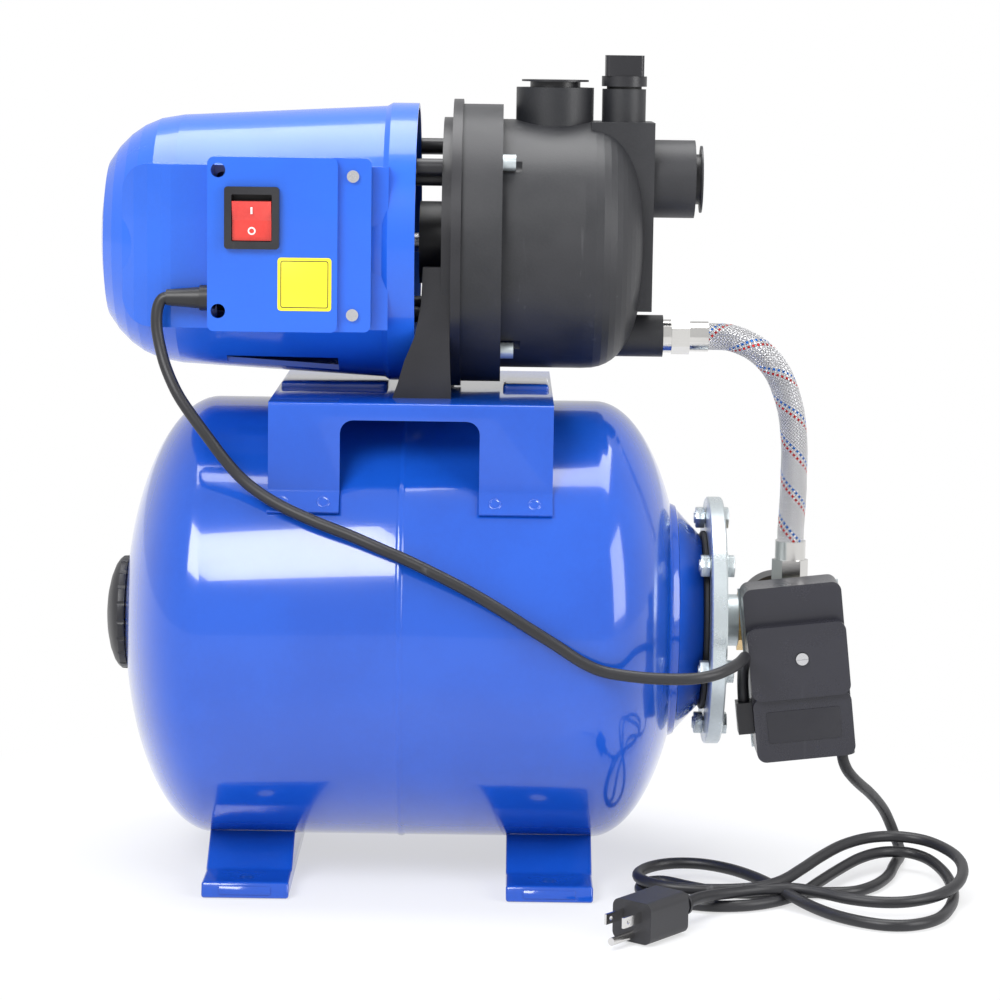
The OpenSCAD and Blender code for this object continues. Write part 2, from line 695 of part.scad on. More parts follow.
module box_screws() color(steel)
    for (z = [360, 443.6]) translate([-79, 0, z]) rotate([-90, 0, 0]) {
        translate([0, 0, box_front_y + 3]) difference() {
            cylinder(h = 2, r = 3.7);
            translate([-2.6, -0.5, -1]) cube([5.2, 1, 1.8]);
            translate([-0.5, -2.6, -1]) cube([1, 5.2, 1.8]);
        }
        translate([0, 0, box_front_y + 5]) cylinder(h = 10, r = 1.5);
    }
module capacitor() color([0.15, 0.15, 0.16])
    translate([-148, -87, 362.5]) rotate([0, 90, 0]) {
        cylinder(h = 50, r = 8);
        cylinder(h = 53, r = 5);
    }
module switch_bezel() color(black)
    difference() {
        union() {
            front_block(-156, box_front_y - 4, 399.5, 33, 37.4, 4, 2);
            front_block(-153, box_front_y, 402.7, 27, 31, 15, 1);
        }
        front_block(-151.7, box_front_y - 5, 404.1, 24.4, 28.2, 18.5, 1);
        translate(rocker_pivot) bar_x(-13.2, 26.4, 1.58);
    }
module rocker_button() color([0.8, 0.15, 0.12])
    translate(rocker_pivot) {
        rotate([9, 0, 0]) strip_x(-11.8, 23.6,
            [[-11.5, 12], [-9.5, 0], [-11.5, -12], [-1, -10.5], [2.5, 0], [-1, 10.5]]);
        bar_x(-13, 26, 1.5);
    }
module cable_gland() color(black)
    translate([0, -92, 369]) difference() {
        union() {
            bar_x(-171.5, 5, 7.8);
            bar_x(-167, 4.5, 6.5);
            turned_x([[-192, 0], [-192, 4.8], [-171.4, 6.6], [-171.4, 0]]);
        }
        bar_x(-193, 11, lead_d / 2 + 0.3);
    }

// ---- leads ----
module motor_lead() color(black) swept(motor_lead_route, lead_d / 2, 8);
module mains_lead() color(black) swept(mains_lead_route, lead_d / 2, 8);
hank_h = 19;
module lead_hank() color(black)
    linear_extrude(hank_h) {
        hull() {
            translate([265, -58]) circle(45, $fn = 32);
            translate([262, -122]) circle(40, $fn = 32);
            translate([205, -87]) circle(13, $fn = 32);
        }
        hull() {
            translate([132, -78]) circle(32, $fn = 32);
            translate([138, -138]) circle(18, $fn = 32);
            translate([200, -88]) circle(13, $fn = 32);
        }
    }
plug_at = [128, -154, 13];
plug_turn = -128.5;
module at_plug() { translate(plug_at) rotate([0, 0, plug_turn]) children(); }
module plug_body() color(black)
    at_plug() {
        turned_x([[1, 0], [1, 4.8], [18, 6.6], [18, 0]]);
        for (i = [0 : 3]) tube_x(3 + 4 * i, 2, 7, 4);
        translate([56, -14, -12.5]) rotate([0, -90, 0]) round_block([25, 28, 38], 5);
    }
module plug_pins() color(steel)
    at_plug() {
        for (y = [-6.35, 6.35]) difference() {
            translate([56, y - 0.75, 0.6]) cube([17.5, 1.5, 6.3]);
            translate([69, y - 2, 3.75]) rotate([-90, 0, 0]) cylinder(h = 4, r = 1.4);
        }
        translate([0, 0, -8]) bar_x(56, 20, 2.4);
    }

tank_shell_left();
tank_shell_right();
tank_feet();
pump_bracket();
tank_flange();
flange_bolts();
flange_nuts();
tank_membrane();
air_valve();
valve_cap();
pipe_nipple();
five_way_fitting();
gauge_case();
gauge_dial();
gauge_pointer();
gauge_glass();
switch_base();
switch_cover();
switch_cover_screw();
switch_glands();
switch_diaphragm();
switch_lever();
contact_block();
pressure_hose();
hose_ends();
hose_adapter();
pump_casing();
casing_bolts();
casing_seal();
diffuser();
jet_nozzle();
impeller();
shaft_seal();
seal_seat();
back_plate();
motor_foot();
foot_bolts();
outlet_cap();
inlet_cap();
fill_plug();
fill_plug_seal();
rotor_shaft();
rotor_core();
stator_core();
stator_windings();
ball_bearings();
end_shield();
cooling_fan();
motor_cover();
capacitor();
terminal_box();
box_screws();
switch_bezel();
rocker_button();
cable_gland();
motor_lead();
mains_lead();
lead_hank();
plug_body();
plug_pins();
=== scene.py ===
"""Shallow-well booster pump set: the visible pieces and finishes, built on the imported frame."""

import logging
import math
from dataclasses import dataclass
from enum import Enum
from typing import Callable, Sequence

import bmesh
import bpy
from mathutils import Matrix, Vector


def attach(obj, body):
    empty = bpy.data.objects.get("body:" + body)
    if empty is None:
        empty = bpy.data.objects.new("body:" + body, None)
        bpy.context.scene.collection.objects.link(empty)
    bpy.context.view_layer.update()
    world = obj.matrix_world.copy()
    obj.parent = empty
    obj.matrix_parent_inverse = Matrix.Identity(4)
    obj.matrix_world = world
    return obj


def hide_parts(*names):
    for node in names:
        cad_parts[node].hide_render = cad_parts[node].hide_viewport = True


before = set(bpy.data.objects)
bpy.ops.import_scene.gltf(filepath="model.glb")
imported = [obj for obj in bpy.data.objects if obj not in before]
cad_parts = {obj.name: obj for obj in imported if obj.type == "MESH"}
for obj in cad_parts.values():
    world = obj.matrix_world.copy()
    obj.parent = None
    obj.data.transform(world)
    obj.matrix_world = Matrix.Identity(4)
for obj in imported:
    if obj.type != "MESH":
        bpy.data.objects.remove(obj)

logging.basicConfig(level=logging.INFO, format="%(message)s")
LOG = logging.getLogger("pump_set")

Point = Sequence[float]
MM = 0.001


def mm(*values: float) -> Vector:
    """Turn three millimetre values into a vector in metres."""
    return Vector(values) * MM


class Axis(Enum):
    """The direction a turned or drawn piece runs in."""

    X = "x"
    Y = "y"
    Z = "z"


def axis_matrix(axis: Axis) -> Matrix:
    """Matrix that turns a piece drawn along Z to run along the axis.

    Args:
        axis: the direction wanted.

    Returns:
        A 4x4 rotation matrix.
    """
    if axis is Axis.X:
        return Matrix.Rotation(math.pi / 2, 4, "Y")
    if axis is Axis.Y:
        return Matrix.Rotation(-math.pi / 2, 4, "X")
    return Matrix.Identity(4)


# ---------------------------------------------------------------- finishes


class Nodes:
    """A material's or a group's node tree, with short calls to fill it."""

    def __init__(self, tree: bpy.types.NodeTree) -> None:
        """Keep the tree."""
        self.tree = tree

    def add(self, kind: str, **sockets: object) -> bpy.types.Node:
        """Add a node and set or link its sockets.

        Args:
            kind: the node's type name without the ShaderNode prefix.
            sockets: values or source sockets by input name, with _ for a space; a leading
                set_ sets a property of the node instead.

        Returns:
            The new node.
        """
        node = self.tree.nodes.new("ShaderNode" + kind)
        for name, value in sockets.items():
            if name.startswith("set_"):
                setattr(node, name[4:], value)
        for name, value in sockets.items():
            if name.startswith("set_"):
                continue
            socket = node.inputs[int(name[1:])] if name[0] == "i" and name[1:].isdigit() \
                else node.inputs[name.replace("_", " ")]
            if isinstance(value, bpy.types.NodeSocket):
                self.tree.links.new(value, socket)
            else:
                socket.default_value = value
        return node

    def maths(self, kind: str, a: object, b: object = 0.0, clamp: bool = False) -> bpy.types.NodeSocket:
        """Add a Math node and give its result."""
        return self.add("Math", set_operation=kind, set_use_clamp=clamp, i0=a, i1=b).outputs[0]

    def ramp(self, value: bpy.types.NodeSocket, low: float, high: float,
             out_low: float = 0.0, out_high: float = 1.0) -> bpy.types.NodeSocket:
        """Map a value smoothly from one range to another and give the result."""
        node = self.add("MapRange", set_interpolation_type="SMOOTHSTEP", Value=value, From_Min=low,
                        From_Max=high, To_Min=out_low, To_Max=out_high)
        return node.outputs[0]

    def mix(self, factor: object, a: object, b: object) -> bpy.types.NodeSocket:
        """Mix two colours and give the result."""
        node = self.add("Mix", set_data_type="RGBA")
        for index, value in ((0, factor), (6, a), (7, b)):
            if isinstance(value, bpy.types.NodeSocket):
                self.tree.links.new(value, node.inputs[index])
            else:
                node.inputs[index].default_value = value
        return node.outputs[2]

    def noise(self, vector: object, scale: float, detail: float = 4.0,
              roughness: float = 0.55) -> bpy.types.NodeSocket:
        """Add a noise texture and give its value."""
        return self.add("TexNoise", Vector=vector, Scale=scale, Detail=detail,
                        Roughness=roughness).outputs[0]


def object_coords(nodes: Nodes) -> bpy.types.NodeSocket:
    """Give the object coordinates of the surface."""
    return nodes.add("TexCoord").outputs["Object"]


def stretched(nodes: Nodes, vector: object, scale: Point) -> bpy.types.NodeSocket:
    """Scale a vector along its axes with a Mapping node and give the result."""
    return nodes.add("Mapping", Vector=vector, Scale=tuple(scale)).outputs[0]


def new_group(name: str, inputs: Sequence[tuple[str, float]],
              outputs: Sequence[str]) -> tuple[bpy.types.NodeTree, Nodes, bpy.types.Node, bpy.types.Node]:
    """Make an empty shader node group with named sockets.

    Args:
        name: the group's name.
        inputs: name and start value of each float input.
        outputs: the names of the float outputs.

    Returns:
        The tree, its Nodes helper, the group input node and the group output node.
    """
    tree = bpy.data.node_groups.new(name, "ShaderNodeTree")
    for label, value in inputs:
        socket = tree.interface.new_socket(label, in_out="INPUT", socket_type="NodeSocketFloat")
        socket.default_value = value
    for label in outputs:
        tree.interface.new_socket(label, in_out="OUTPUT", socket_type="NodeSocketFloat")
    return tree, Nodes(tree), tree.nodes.new("NodeGroupInput"), tree.nodes.new("NodeGroupOutput")


def build_mottle_group() -> bpy.types.NodeTree:
    """Group for broad tone changes and fine grain that every moulded or painted skin has."""
    tree, nodes, start, end = new_group(
        "skin_mottle", (("Broad Scale", 12.0), ("Fine Scale", 400.0), ("Fine Share", 0.4)),
        ("Tone", "Grain"))
    where = object_coords(nodes)
    broad = nodes.noise(where, start.outputs["Broad Scale"], 3.0)
    fine = nodes.noise(where, start.outputs["Fine Scale"], 5.0, 0.7)
    share = nodes.maths("MULTIPLY", nodes.maths("SUBTRACT", fine, 0.5), start.outputs["Fine Share"])
    tree.links.new(nodes.maths("ADD", broad, share, True), end.inputs["Tone"])
    tree.links.new(fine, end.inputs["Grain"])
    return tree


def build_scuff_group() -> bpy.types.NodeTree:
    """Group for thin scratches and rubbed spots, as a mask from none to full."""
    tree, nodes, start, end = new_group("scuffs", (("Scale", 60.0), ("Amount", 0.5)), ("Mask",))
    where = object_coords(nodes)
    patches = nodes.noise(where, 9.0, 4.0, 0.6)
    lines = nodes.noise(stretched(nodes, where, (1.0, 1.0, 0.07)), start.outputs["Scale"], 3.0, 0.75)
    crossing = nodes.noise(stretched(nodes, where, (0.08, 1.0, 1.0)), start.outputs["Scale"], 3.0, 0.75)
    sharp = nodes.maths("MAXIMUM", nodes.ramp(lines, 0.62, 0.72), nodes.ramp(crossing, 0.66, 0.75))
    spots = nodes.maths("MULTIPLY", sharp, nodes.ramp(patches, 0.5, 0.68))
    tree.links.new(nodes.maths("MULTIPLY", spots, start.outputs["Amount"], True), end.inputs["Mask"])
    return tree


class Effects:
    """The shader node groups that several finishes share, each built once."""

    trees: dict[str, bpy.types.NodeTree] = {}

    @classmethod
    def place(cls, nodes: Nodes, maker: Callable[[], bpy.types.NodeTree],
              **values: float) -> bpy.types.Node:
        """Put one of the shared groups into a material.

        Args:
            nodes: the material's nodes.
            maker: the function that builds the group.
            values: input values by name, with _ for a space.

        Returns:
            The group node.
        """
        if maker.__name__ not in cls.trees:
            cls.trees[maker.__name__] = maker()
        node = nodes.tree.nodes.new("ShaderNodeGroup")
        node.node_tree = cls.trees[maker.__name__]
        for name, value in values.items():
            node.inputs[name.replace("_", " ")].default_value = value
        return node


class Skin(Enum):
    """The families of surface that the finishes belong to."""

    ENAMEL = "enamel"
    MOULDED = "moulded"
    METAL = "metal"
    RUBBER = "rubber"
    CLEAR = "clear"
    WINDING = "winding"
    LAMINATED = "laminated"
    BRAID = "braid"


@dataclass(frozen=True)
class Finish:
    """One finish: its colour, gloss and surface detail."""

    name: str
    skin: Skin
    colour: tuple[float, float, float]
    roughness: float
    second: tuple[float, float, float] = (0.0, 0.0, 0.0)
    second_share: float = 0.0
    bump: float = 0.1
    grain: float = 900.0
    scuffs: float = 0.0
    coat: float = 0.0
    metallic: float = 0.0
    spread: float = 0.08

    def material(self) -> bpy.types.Material:
        """Give the finish's material, made on first use."""
        found = bpy.data.materials.get(self.name)
        if found:
            return found
        made = bpy.data.materials.new(self.name)
        made.use_nodes = True
        made.diffuse_color = (*self.colour, 1.0)
        made.node_tree.nodes.clear()
        nodes = Nodes(made.node_tree)
        shader = self._shader(nodes)
        out = nodes.tree.nodes.new("ShaderNodeOutputMaterial")
        nodes.tree.links.new(shader.outputs[0], out.inputs["Surface"])
        return made

    def _shader(self, nodes: Nodes) -> bpy.types.Node:
        """Build the shader of the finish's family."""
        if self.skin is Skin.CLEAR:
            return self._clear(nodes)
        if self.skin is Skin.BRAID:
            return self._braid(nodes)
        mottle = Effects.place(nodes, build_mottle_group, Broad_Scale=14.0, Fine_Scale=self.grain,
                               Fine_Share=0.35)
        tone, grain = mottle.outputs["Tone"], mottle.outputs["Grain"]
        colour = nodes.mix(nodes.maths("MULTIPLY", nodes.ramp(tone, 0.3, 0.7), self.second_share),
                           (*self.colour, 1.0), (*self.second, 1.0))
        height = grain
        rough = nodes.ramp(tone, 0.2, 0.8, self.roughness - self.spread, self.roughness + self.spread)
        if self.skin is Skin.LAMINATED:
            height = nodes.maths("SINE", nodes.maths(
                "MULTIPLY", nodes.add("SeparateXYZ", Vector=object_coords(nodes)).outputs[0], 9000.0))
            colour = nodes.mix(nodes.ramp(height, -0.8, 0.2), (0.05, 0.05, 0.05, 1.0), colour)
        if self.skin is Skin.WINDING:
            strand = nodes.noise(stretched(nodes, object_coords(nodes), (0.3, 1.0, 1.0)), 420.0, 2.0)
            height = nodes.maths("SINE", nodes.maths("MULTIPLY", strand, 60.0))
            colour = nodes.mix(nodes.ramp(height, -1.0, 0.6), (0.12, 0.03, 0.01, 1.0), colour)
        if self.scuffs:
            mask = Effects.place(nodes, build_scuff_group, Scale=70.0, Amount=self.scuffs).outputs[0]
            colour = nodes.mix(nodes.maths("MULTIPLY", mask, 0.6), colour, (0.55, 0.55, 0.56, 1.0))
            rough = nodes.maths("ADD", rough, nodes.maths("MULTIPLY", mask, 0.25), True)
        bump = nodes.add("Bump", Strength=self.bump, Distance=0.0003, Height=height)
        shader = nodes.add("BsdfPrincipled", Base_Color=colour, Roughness=rough, Normal=bump.outputs[0],
                           Metallic=self.metallic)
        shader.inputs["Coat Weight"].default_value = self.coat
        shader.inputs["Coat Roughness"].default_value = 0.03
        return shader

    def _clear(self, nodes: Nodes) -> bpy.types.Node:
        """Build a clear or tinted glass-like shader with faint smears."""
        smear = nodes.noise(object_coords(nodes), 160.0, 3.0)
        rough = nodes.ramp(smear, 0.3, 0.8, self.roughness, self.roughness + 0.08)
        bump = nodes.add("Bump", Strength=self.bump, Distance=0.0002, Height=smear)
        shader = nodes.add("BsdfPrincipled", Base_Color=(*self.colour, 1.0), Roughness=rough,
                           Normal=bump.outputs[0], Metallic=0.0)
        shader.inputs["Transmission Weight"].default_value = 1.0
        shader.inputs["IOR"].default_value = 1.45
        return shader

    def _braid(self, nodes: Nodes) -> bpy.types.Node:
        """Build woven wire: crossing flat bundles, with a red and a blue marker thread.

        The piece's UV runs round the hose in u and along it in v.
        """
        uv = nodes.add("SeparateXYZ", Vector=nodes.add("TexCoord").outputs["UV"])
        turn, along = uv.outputs[0], uv.outputs[1]
        right = nodes.maths("ADD", turn, along)
        left = nodes.maths("SUBTRACT", turn, along)
        count, fineness = 12.0, 144.0
        wave_r = nodes.maths("SINE", nodes.maths("MULTIPLY", right, count * 2 * math.pi))
        wave_l = nodes.maths("SINE", nodes.maths("MULTIPLY", left, count * 2 * math.pi))
        over = nodes.maths("MULTIPLY", wave_r, wave_l)
        wires_r = nodes.maths("ABSOLUTE", nodes.maths("SINE", nodes.maths("MULTIPLY", left, fineness)))
        wires_l = nodes.maths("ABSOLUTE", nodes.maths("SINE", nodes.maths("MULTIPLY", right, fineness)))
        top = nodes.ramp(over, -0.12, 0.12)
        height = nodes.add("Mix", set_data_type="FLOAT", i0=top, i2=wires_r, i3=wires_l).outputs[0]
        gap = nodes.ramp(nodes.maths("ABSOLUTE", over), 0.0, 0.22)
        relief = nodes.maths("MULTIPLY", height, nodes.maths("ADD", gap, 0.25))
        colour = nodes.mix(gap, (0.16, 0.16, 0.17, 1.0), (*self.colour, 1.0))
        for shift, tint in ((0.0, (0.62, 0.02, 0.02, 1.0)), (0.085, (0.01, 0.16, 0.62, 1.0))):
            band = nodes.maths("FRACT", nodes.maths("MULTIPLY", nodes.maths("ADD", right, shift), 2.0))
            thread = nodes.maths("MULTIPLY", nodes.maths("LESS_THAN", band, 0.075),
                                 nodes.maths("GREATER_THAN", over, 0.0))
            colour = nodes.mix(thread, colour, tint)
        bump = nodes.add("Bump", Strength=self.bump, Distance=0.0008, Height=relief)
        return nodes.add("BsdfPrincipled", Base_Color=colour, Metallic=0.75, Normal=bump.outputs[0],
                         Roughness=nodes.ramp(height, 0.0, 1.0, self.roughness + 0.15, self.roughness))


TANK_BLUE = Finish("tank_enamel", Skin.ENAMEL, (0.008, 0.085, 0.52), 0.16, (0.006, 0.06, 0.4), 0.5,
                   bump=0.06, grain=260.0, coat=0.7, spread=0.03)
COVER_BLUE = Finish("cover_enamel", Skin.ENAMEL, (0.012, 0.12, 0.66), 0.24, (0.01, 0.09, 0.52), 0.45,
                    bump=0.08, grain=420.0, coat=0.45, spread=0.04)
CAST_BLACK = Finish("moulded_casing", Skin.MOULDED, (0.012, 0.013, 0.016), 0.46, (0.03, 0.03, 0.034), 0.7,
                    bump=0.28, grain=700.0, scuffs=0.5, spread=0.1)
SATIN_BLACK = Finish("satin_black", Skin.MOULDED, (0.012, 0.012, 0.015), 0.36, (0.024, 0.024, 0.028), 0.6,
                     bump=0.16, grain=900.0, scuffs=0.18)
COVER_BLACK = Finish("switch_cover_black", Skin.MOULDED, (0.022, 0.022, 0.03), 0.3, (0.03, 0.03, 0.04), 0.5,
                     bump=0.12, grain=1100.0, scuffs=0.12)
ZINC = Finish("zinc_plate", Skin.METAL, (0.62, 0.68, 0.7), 0.34, (0.45, 0.5, 0.52), 0.6, bump=0.3,
              grain=500.0, scuffs=0.5, metallic=0.75, spread=0.12)
STEEL = Finish("bright_steel", Skin.METAL, (0.7, 0.7, 0.72), 0.26, (0.5, 0.5, 0.52), 0.5, bump=0.18,
               grain=1300.0, scuffs=0.4, metallic=1.0)
NICKEL = Finish("nickel_plate", Skin.METAL, (0.74, 0.73, 0.71), 0.16, (0.56, 0.55, 0.54), 0.5, bump=0.1,
                grain=1300.0, scuffs=0.2, metallic=1.0, spread=0.05)
BRASS = Finish("machined_brass", Skin.METAL, (0.72, 0.5, 0.2), 0.28, (0.5, 0.33, 0.13), 0.6, bump=0.2,
               grain=900.0, scuffs=0.4, metallic=1.0)
ALU = Finish("cast_aluminium", Skin.METAL, (0.6, 0.61, 0.62), 0.42, (0.42, 0.43, 0.44), 0.6, bump=0.5,
             grain=500.0, metallic=0.9)
RUBBER = Finish("cable_rubber", Skin.RUBBER, (0.012, 0.012, 0.014), 0.4, (0.022, 0.022, 0.026), 0.6,
                bump=0.14, grain=1500.0, scuffs=0.2)
PLUG_BLACK = Finish("plug_rubber", Skin.RUBBER, (0.016, 0.016, 0.019), 0.44, (0.028, 0.028, 0.032), 0.6,
                    bump=0.25, grain=1200.0, scuffs=0.3)
SEAL_RUBBER = Finish("seal_rubber", Skin.RUBBER, (0.01, 0.01, 0.01), 0.6, (0.03, 0.03, 0.03), 0.6,
                     bump=0.3, grain=900.0)
LABEL = Finish("yellow_label", Skin.MOULDED, (0.9, 0.78, 0.03), 0.4, (0.82, 0.7, 0.03), 0.4, bump=0.05,
               grain=1500.0, spread=0.04)
PLATE = Finish("name_plate", Skin.MOULDED, (0.016, 0.016, 0.022), 0.42, (0.025, 0.025, 0.03), 0.6, bump=0.1)
ROCKER_RED = Finish("rocker_red", Skin.MOULDED, (0.62, 0.025, 0.02), 0.22, (0.8, 0.07, 0.05), 0.6, bump=0.05,
                    grain=300.0, coat=0.6)
MARK_WHITE = Finish("mark_white", Skin.MOULDED, (0.85, 0.8, 0.78), 0.5, (0.7, 0.66, 0.64), 0.5, bump=0.05)
IVORY = Finish("pump_plastic", Skin.MOULDED, (0.66, 0.62, 0.52), 0.45, (0.56, 0.52, 0.43), 0.6, bump=0.2)
CERAMIC = Finish("ceramic", Skin.MOULDED, (0.8, 0.78, 0.72), 0.18, (0.72, 0.7, 0.64), 0.5, bump=0.04)
DIAL_WHITE = Finish("dial_white", Skin.MOULDED, (0.86, 0.86, 0.84), 0.5, (0.8, 0.8, 0.77), 0.5, bump=0.04)
BAKELITE = Finish("bakelite", Skin.MOULDED, (0.2, 0.07, 0.025), 0.34, (0.13, 0.04, 0.015), 0.6, bump=0.12)
COPPER = Finish("copper_winding", Skin.WINDING, (0.62, 0.24, 0.09), 0.34, (0.5, 0.16, 0.05), 0.5, bump=0.7,
                metallic=0.7)
CORE = Finish("laminated_core", Skin.LAMINATED, (0.3, 0.3, 0.31), 0.5, (0.18, 0.15, 0.13), 0.6, bump=0.5,
              metallic=0.7)
CLEAR = Finish("clear_cover", Skin.CLEAR, (0.96, 0.96, 0.96), 0.05, bump=0.05)
BRAID = Finish("woven_wire", Skin.BRAID, (0.78, 0.78, 0.8), 0.24, bump=0.9)

# ---------------------------------------------------------------- the bench: modelling calls


def clear_selection() -> None:
    """Leave edit mode and deselect everything."""
    if bpy.context.mode != "OBJECT":
        bpy.ops.object.mode_set(mode="OBJECT")
    bpy.ops.object.select_all(action="DESELECT")


def take(piece: bpy.types.Object) -> bpy.types.Object:
    """Select one piece alone, make it active and give it back."""
    clear_selection()
    piece.select_set(True)
    bpy.context.view_layer.objects.active = piece
    return piece


def named(name: str) -> bpy.types.Object:
    """Name the active piece and its mesh, and give the piece."""
    piece = bpy.context.object
    piece.name = piece.data.name = name
    return piece


def settle(piece: bpy.types.Object, matrix: Matrix) -> bpy.types.Object:
    """Move a piece by a matrix and apply it, so that the place is in the mesh."""
    take(piece)
    piece.matrix_world = matrix @ piece.matrix_world
    bpy.ops.object.transform_apply(location=True, rotation=True, scale=True)
    return piece


def at(x: float, y: float, z: float, axis: Axis = Axis.Z) -> Matrix:
    """Matrix that turns a piece drawn along Z to the axis and moves it to a place in millimetres."""
    return Matrix.Translation(mm(x, y, z)) @ axis_matrix(axis)


def modify(piece: bpy.types.Object, kind: str, **values: object) -> bpy.types.Object:
    """Add a modifier, set its values and apply it.

    Args:
        piece: the piece to change.
        kind: the modifier's type name.
        values: the modifier's properties.

    Returns:
        The same piece.
    """
    take(piece)
    modifier = piece.modifiers.new(kind.lower(), kind)
    for name, value in values.items():
        setattr(modifier, name, value)
    bpy.ops.object.modifier_apply(modifier=modifier.name)
    return piece


def soften(piece: bpy.types.Object, width: float, segments: int = 3,
           angle: float = 30.0) -> bpy.types.Object:
    """Round the sharp edges of a piece; the width is in millimetres."""
    return modify(piece, "BEVEL", width=width * MM, segments=segments, limit_method="ANGLE",
                  angle_limit=math.radians(angle), miter_outer="MITER_ARC")


def cut(piece: bpy.types.Object, *tools: bpy.types.Object) -> bpy.types.Object:
    """Cut the tools' shapes out of a piece and remove the tools."""
    for tool in tools:
        modify(piece, "BOOLEAN", object=tool, operation="DIFFERENCE", solver="EXACT")
        bpy.data.objects.remove(tool)
    return piece


def join(name: str, pieces: Sequence[bpy.types.Object]) -> bpy.types.Object:
    """Join pieces into one object and name it."""
    take(pieces[0])
    for piece in pieces:
        piece.select_set(True)
    bpy.ops.object.join()
    return named(name)


def copied(piece: bpy.types.Object, matrix: Matrix) -> bpy.types.Object:
    """Copy a piece with a mesh of its own and move the copy by a matrix."""
    twin = piece.copy()
    twin.data = piece.data.copy()
    bpy.context.collection.objects.link(twin)
    return settle(twin, matrix)


def ringed(name: str, piece: bpy.types.Object, count: int, centre: Point, axis: Axis) -> bpy.types.Object:
    """Copy a piece round an axis and join the copies.

    Args:
        name: the joined piece's name.
        piece: the first piece, already in its place.
        count: how many there are in all.
        centre: a point on the axis, in millimetres.
        axis: the axis to turn about.

    Returns:
        The joined piece.
    """
    pieces = [piece]
    for i in range(1, count):
        turn = Matrix.Rotation(2 * math.pi * i / count, 4, axis.value.upper())
        place = Matrix.Translation(mm(*centre))
        pieces.append(copied(piece, place @ turn @ place.inverted()))
    return join(name, pieces)


def first_vertex(name: str, point: Point) -> bpy.types.Object:
    """Start a drawn piece: one selected vertex at a point in millimetres, in edit mode."""
    clear_selection()
    bpy.ops.mesh.primitive_plane_add(size=0.002)
    piece = named(name)
    bpy.ops.object.mode_set(mode="EDIT")
    bpy.ops.mesh.merge(type="CENTER")
    bpy.ops.transform.translate(value=mm(*point))
    return piece


def drawn_line(name: str, points: Sequence[Point], closed: bool) -> bpy.types.Object:
    """Draw a line of edges through the points by extruding its last vertex.

    Args:
        name: the piece's name.
        points: the corners in millimetres.
        closed: whether the last point is joined to the first and the outline filled.

    Returns:
        The piece, left in edit mode with all selected.
    """
    piece = first_vertex(name, points[0])
    for last, point in zip(points, points[1:]):
        step = mm(*point) - mm(*last)
        bpy.ops.mesh.extrude_region_move(TRANSFORM_OT_translate={"value": step})
    bpy.ops.mesh.select_all(action="SELECT")
    if closed:
        bpy.ops.mesh.edge_face_add()
    return piece


def turned(name: str, corners: Sequence[tuple[float, float]], axis: Axis, centre: Point,
           steps: int = 96) -> bpy.types.Object:
    """Turn a profile on the lathe.

    Args:
        name: the piece's name.
        corners: (place along the axis, radius) of each corner, in millimetres.
        axis: the axis to turn about.
        centre: the axis's zero point, in millimetres.
        steps: how many steps make the circle.

    Returns:
        The turned piece.
    """
    piece = drawn_line(name, [(r, 0.0, along) for along, r in corners], False)
    bpy.ops.mesh.spin(steps=steps, angle=2 * math.pi, center=(0, 0, 0), axis=(0, 0, 1))
    bpy.ops.mesh.select_all(action="SELECT")
    bpy.ops.mesh.remove_doubles(threshold=0.000005)
    bpy.ops.mesh.normals_make_consistent(inside=False)
    bpy.ops.object.mode_set(mode="OBJECT")
    return settle(piece, at(*centre, axis))


def arced(corners: Sequence[tuple[float, float, float]], steps: int = 4) -> list[tuple[float, float]]:
    """Round the corners of an open or closed line.

    Args:
        corners: (a, b, radius) of each corner; a radius of 0 keeps it sharp.
        steps: how many points make each arc, less one.

    Returns:
        The points of the rounded line.
    """
    points: list[tuple[float, float]] = []
    count = len(corners)
    for i, (a, b, radius) in enumerate(corners):
        if radius <= 0:
            points.append((a, b))
            continue
        here = Vector((a, b))
        before = (Vector(corners[i - 1][:2]) - here).normalized()
        after = (Vector(corners[(i + 1) % count][:2]) - here).normalized()
        half = before.angle(after) / 2
        reach = radius / math.tan(half)
        middle_point = here + (before + after).normalized() * (radius / math.sin(half))
        start, end = here + before * reach - middle_point, here + after * reach - middle_point
        for k in range(steps + 1):
            way = start.slerp(end, k / steps, start)
            spot = middle_point + way.normalized() * radius
            points.append((spot.x, spot.y))
    return points


def plate(name: str, outline: Sequence[tuple[float, float]], thick: float, axis: Axis, centre: Point,
          edge: float = 0.0, segments: int = 2) -> bpy.types.Object:
    """Draw an outline, fill it and pull it out to a thickness.

    Args:
        name: the piece's name.
        outline: the corners in the plane across the axis, in millimetres.
        thick: how far it is pulled along the axis.
        axis: the direction it is pulled in.
        centre: where the outline's zero point lies.
        edge: the width of the rounding on its sharp edges.
        segments: the steps of that rounding.

    Returns:
        The plate.
    """
    piece = drawn_line(name, [(a, b, 0.0) for a, b in outline], True)
    bpy.ops.mesh.extrude_region_move(TRANSFORM_OT_translate={"value": mm(0, 0, thick)})
    bpy.ops.mesh.select_all(action="SELECT")
    bpy.ops.mesh.normals_make_consistent(inside=False)
    bpy.ops.object.mode_set(mode="OBJECT")
    if edge:
        soften(piece, edge, segments, 40.0)
    return settle(piece, at(*centre, axis))


def front_plate(name: str, outline: Sequence[tuple[float, float]], front: float, back: float,
                edge: float = 0.0, segments: int = 2) -> bpy.types.Object:
    """Make a plate whose outline is in X and Z and which reaches from front to back in Y."""
    return plate(name, [(a, -b) for a, b in outline], back - front, Axis.Y, (0, front, 0), edge, segments)


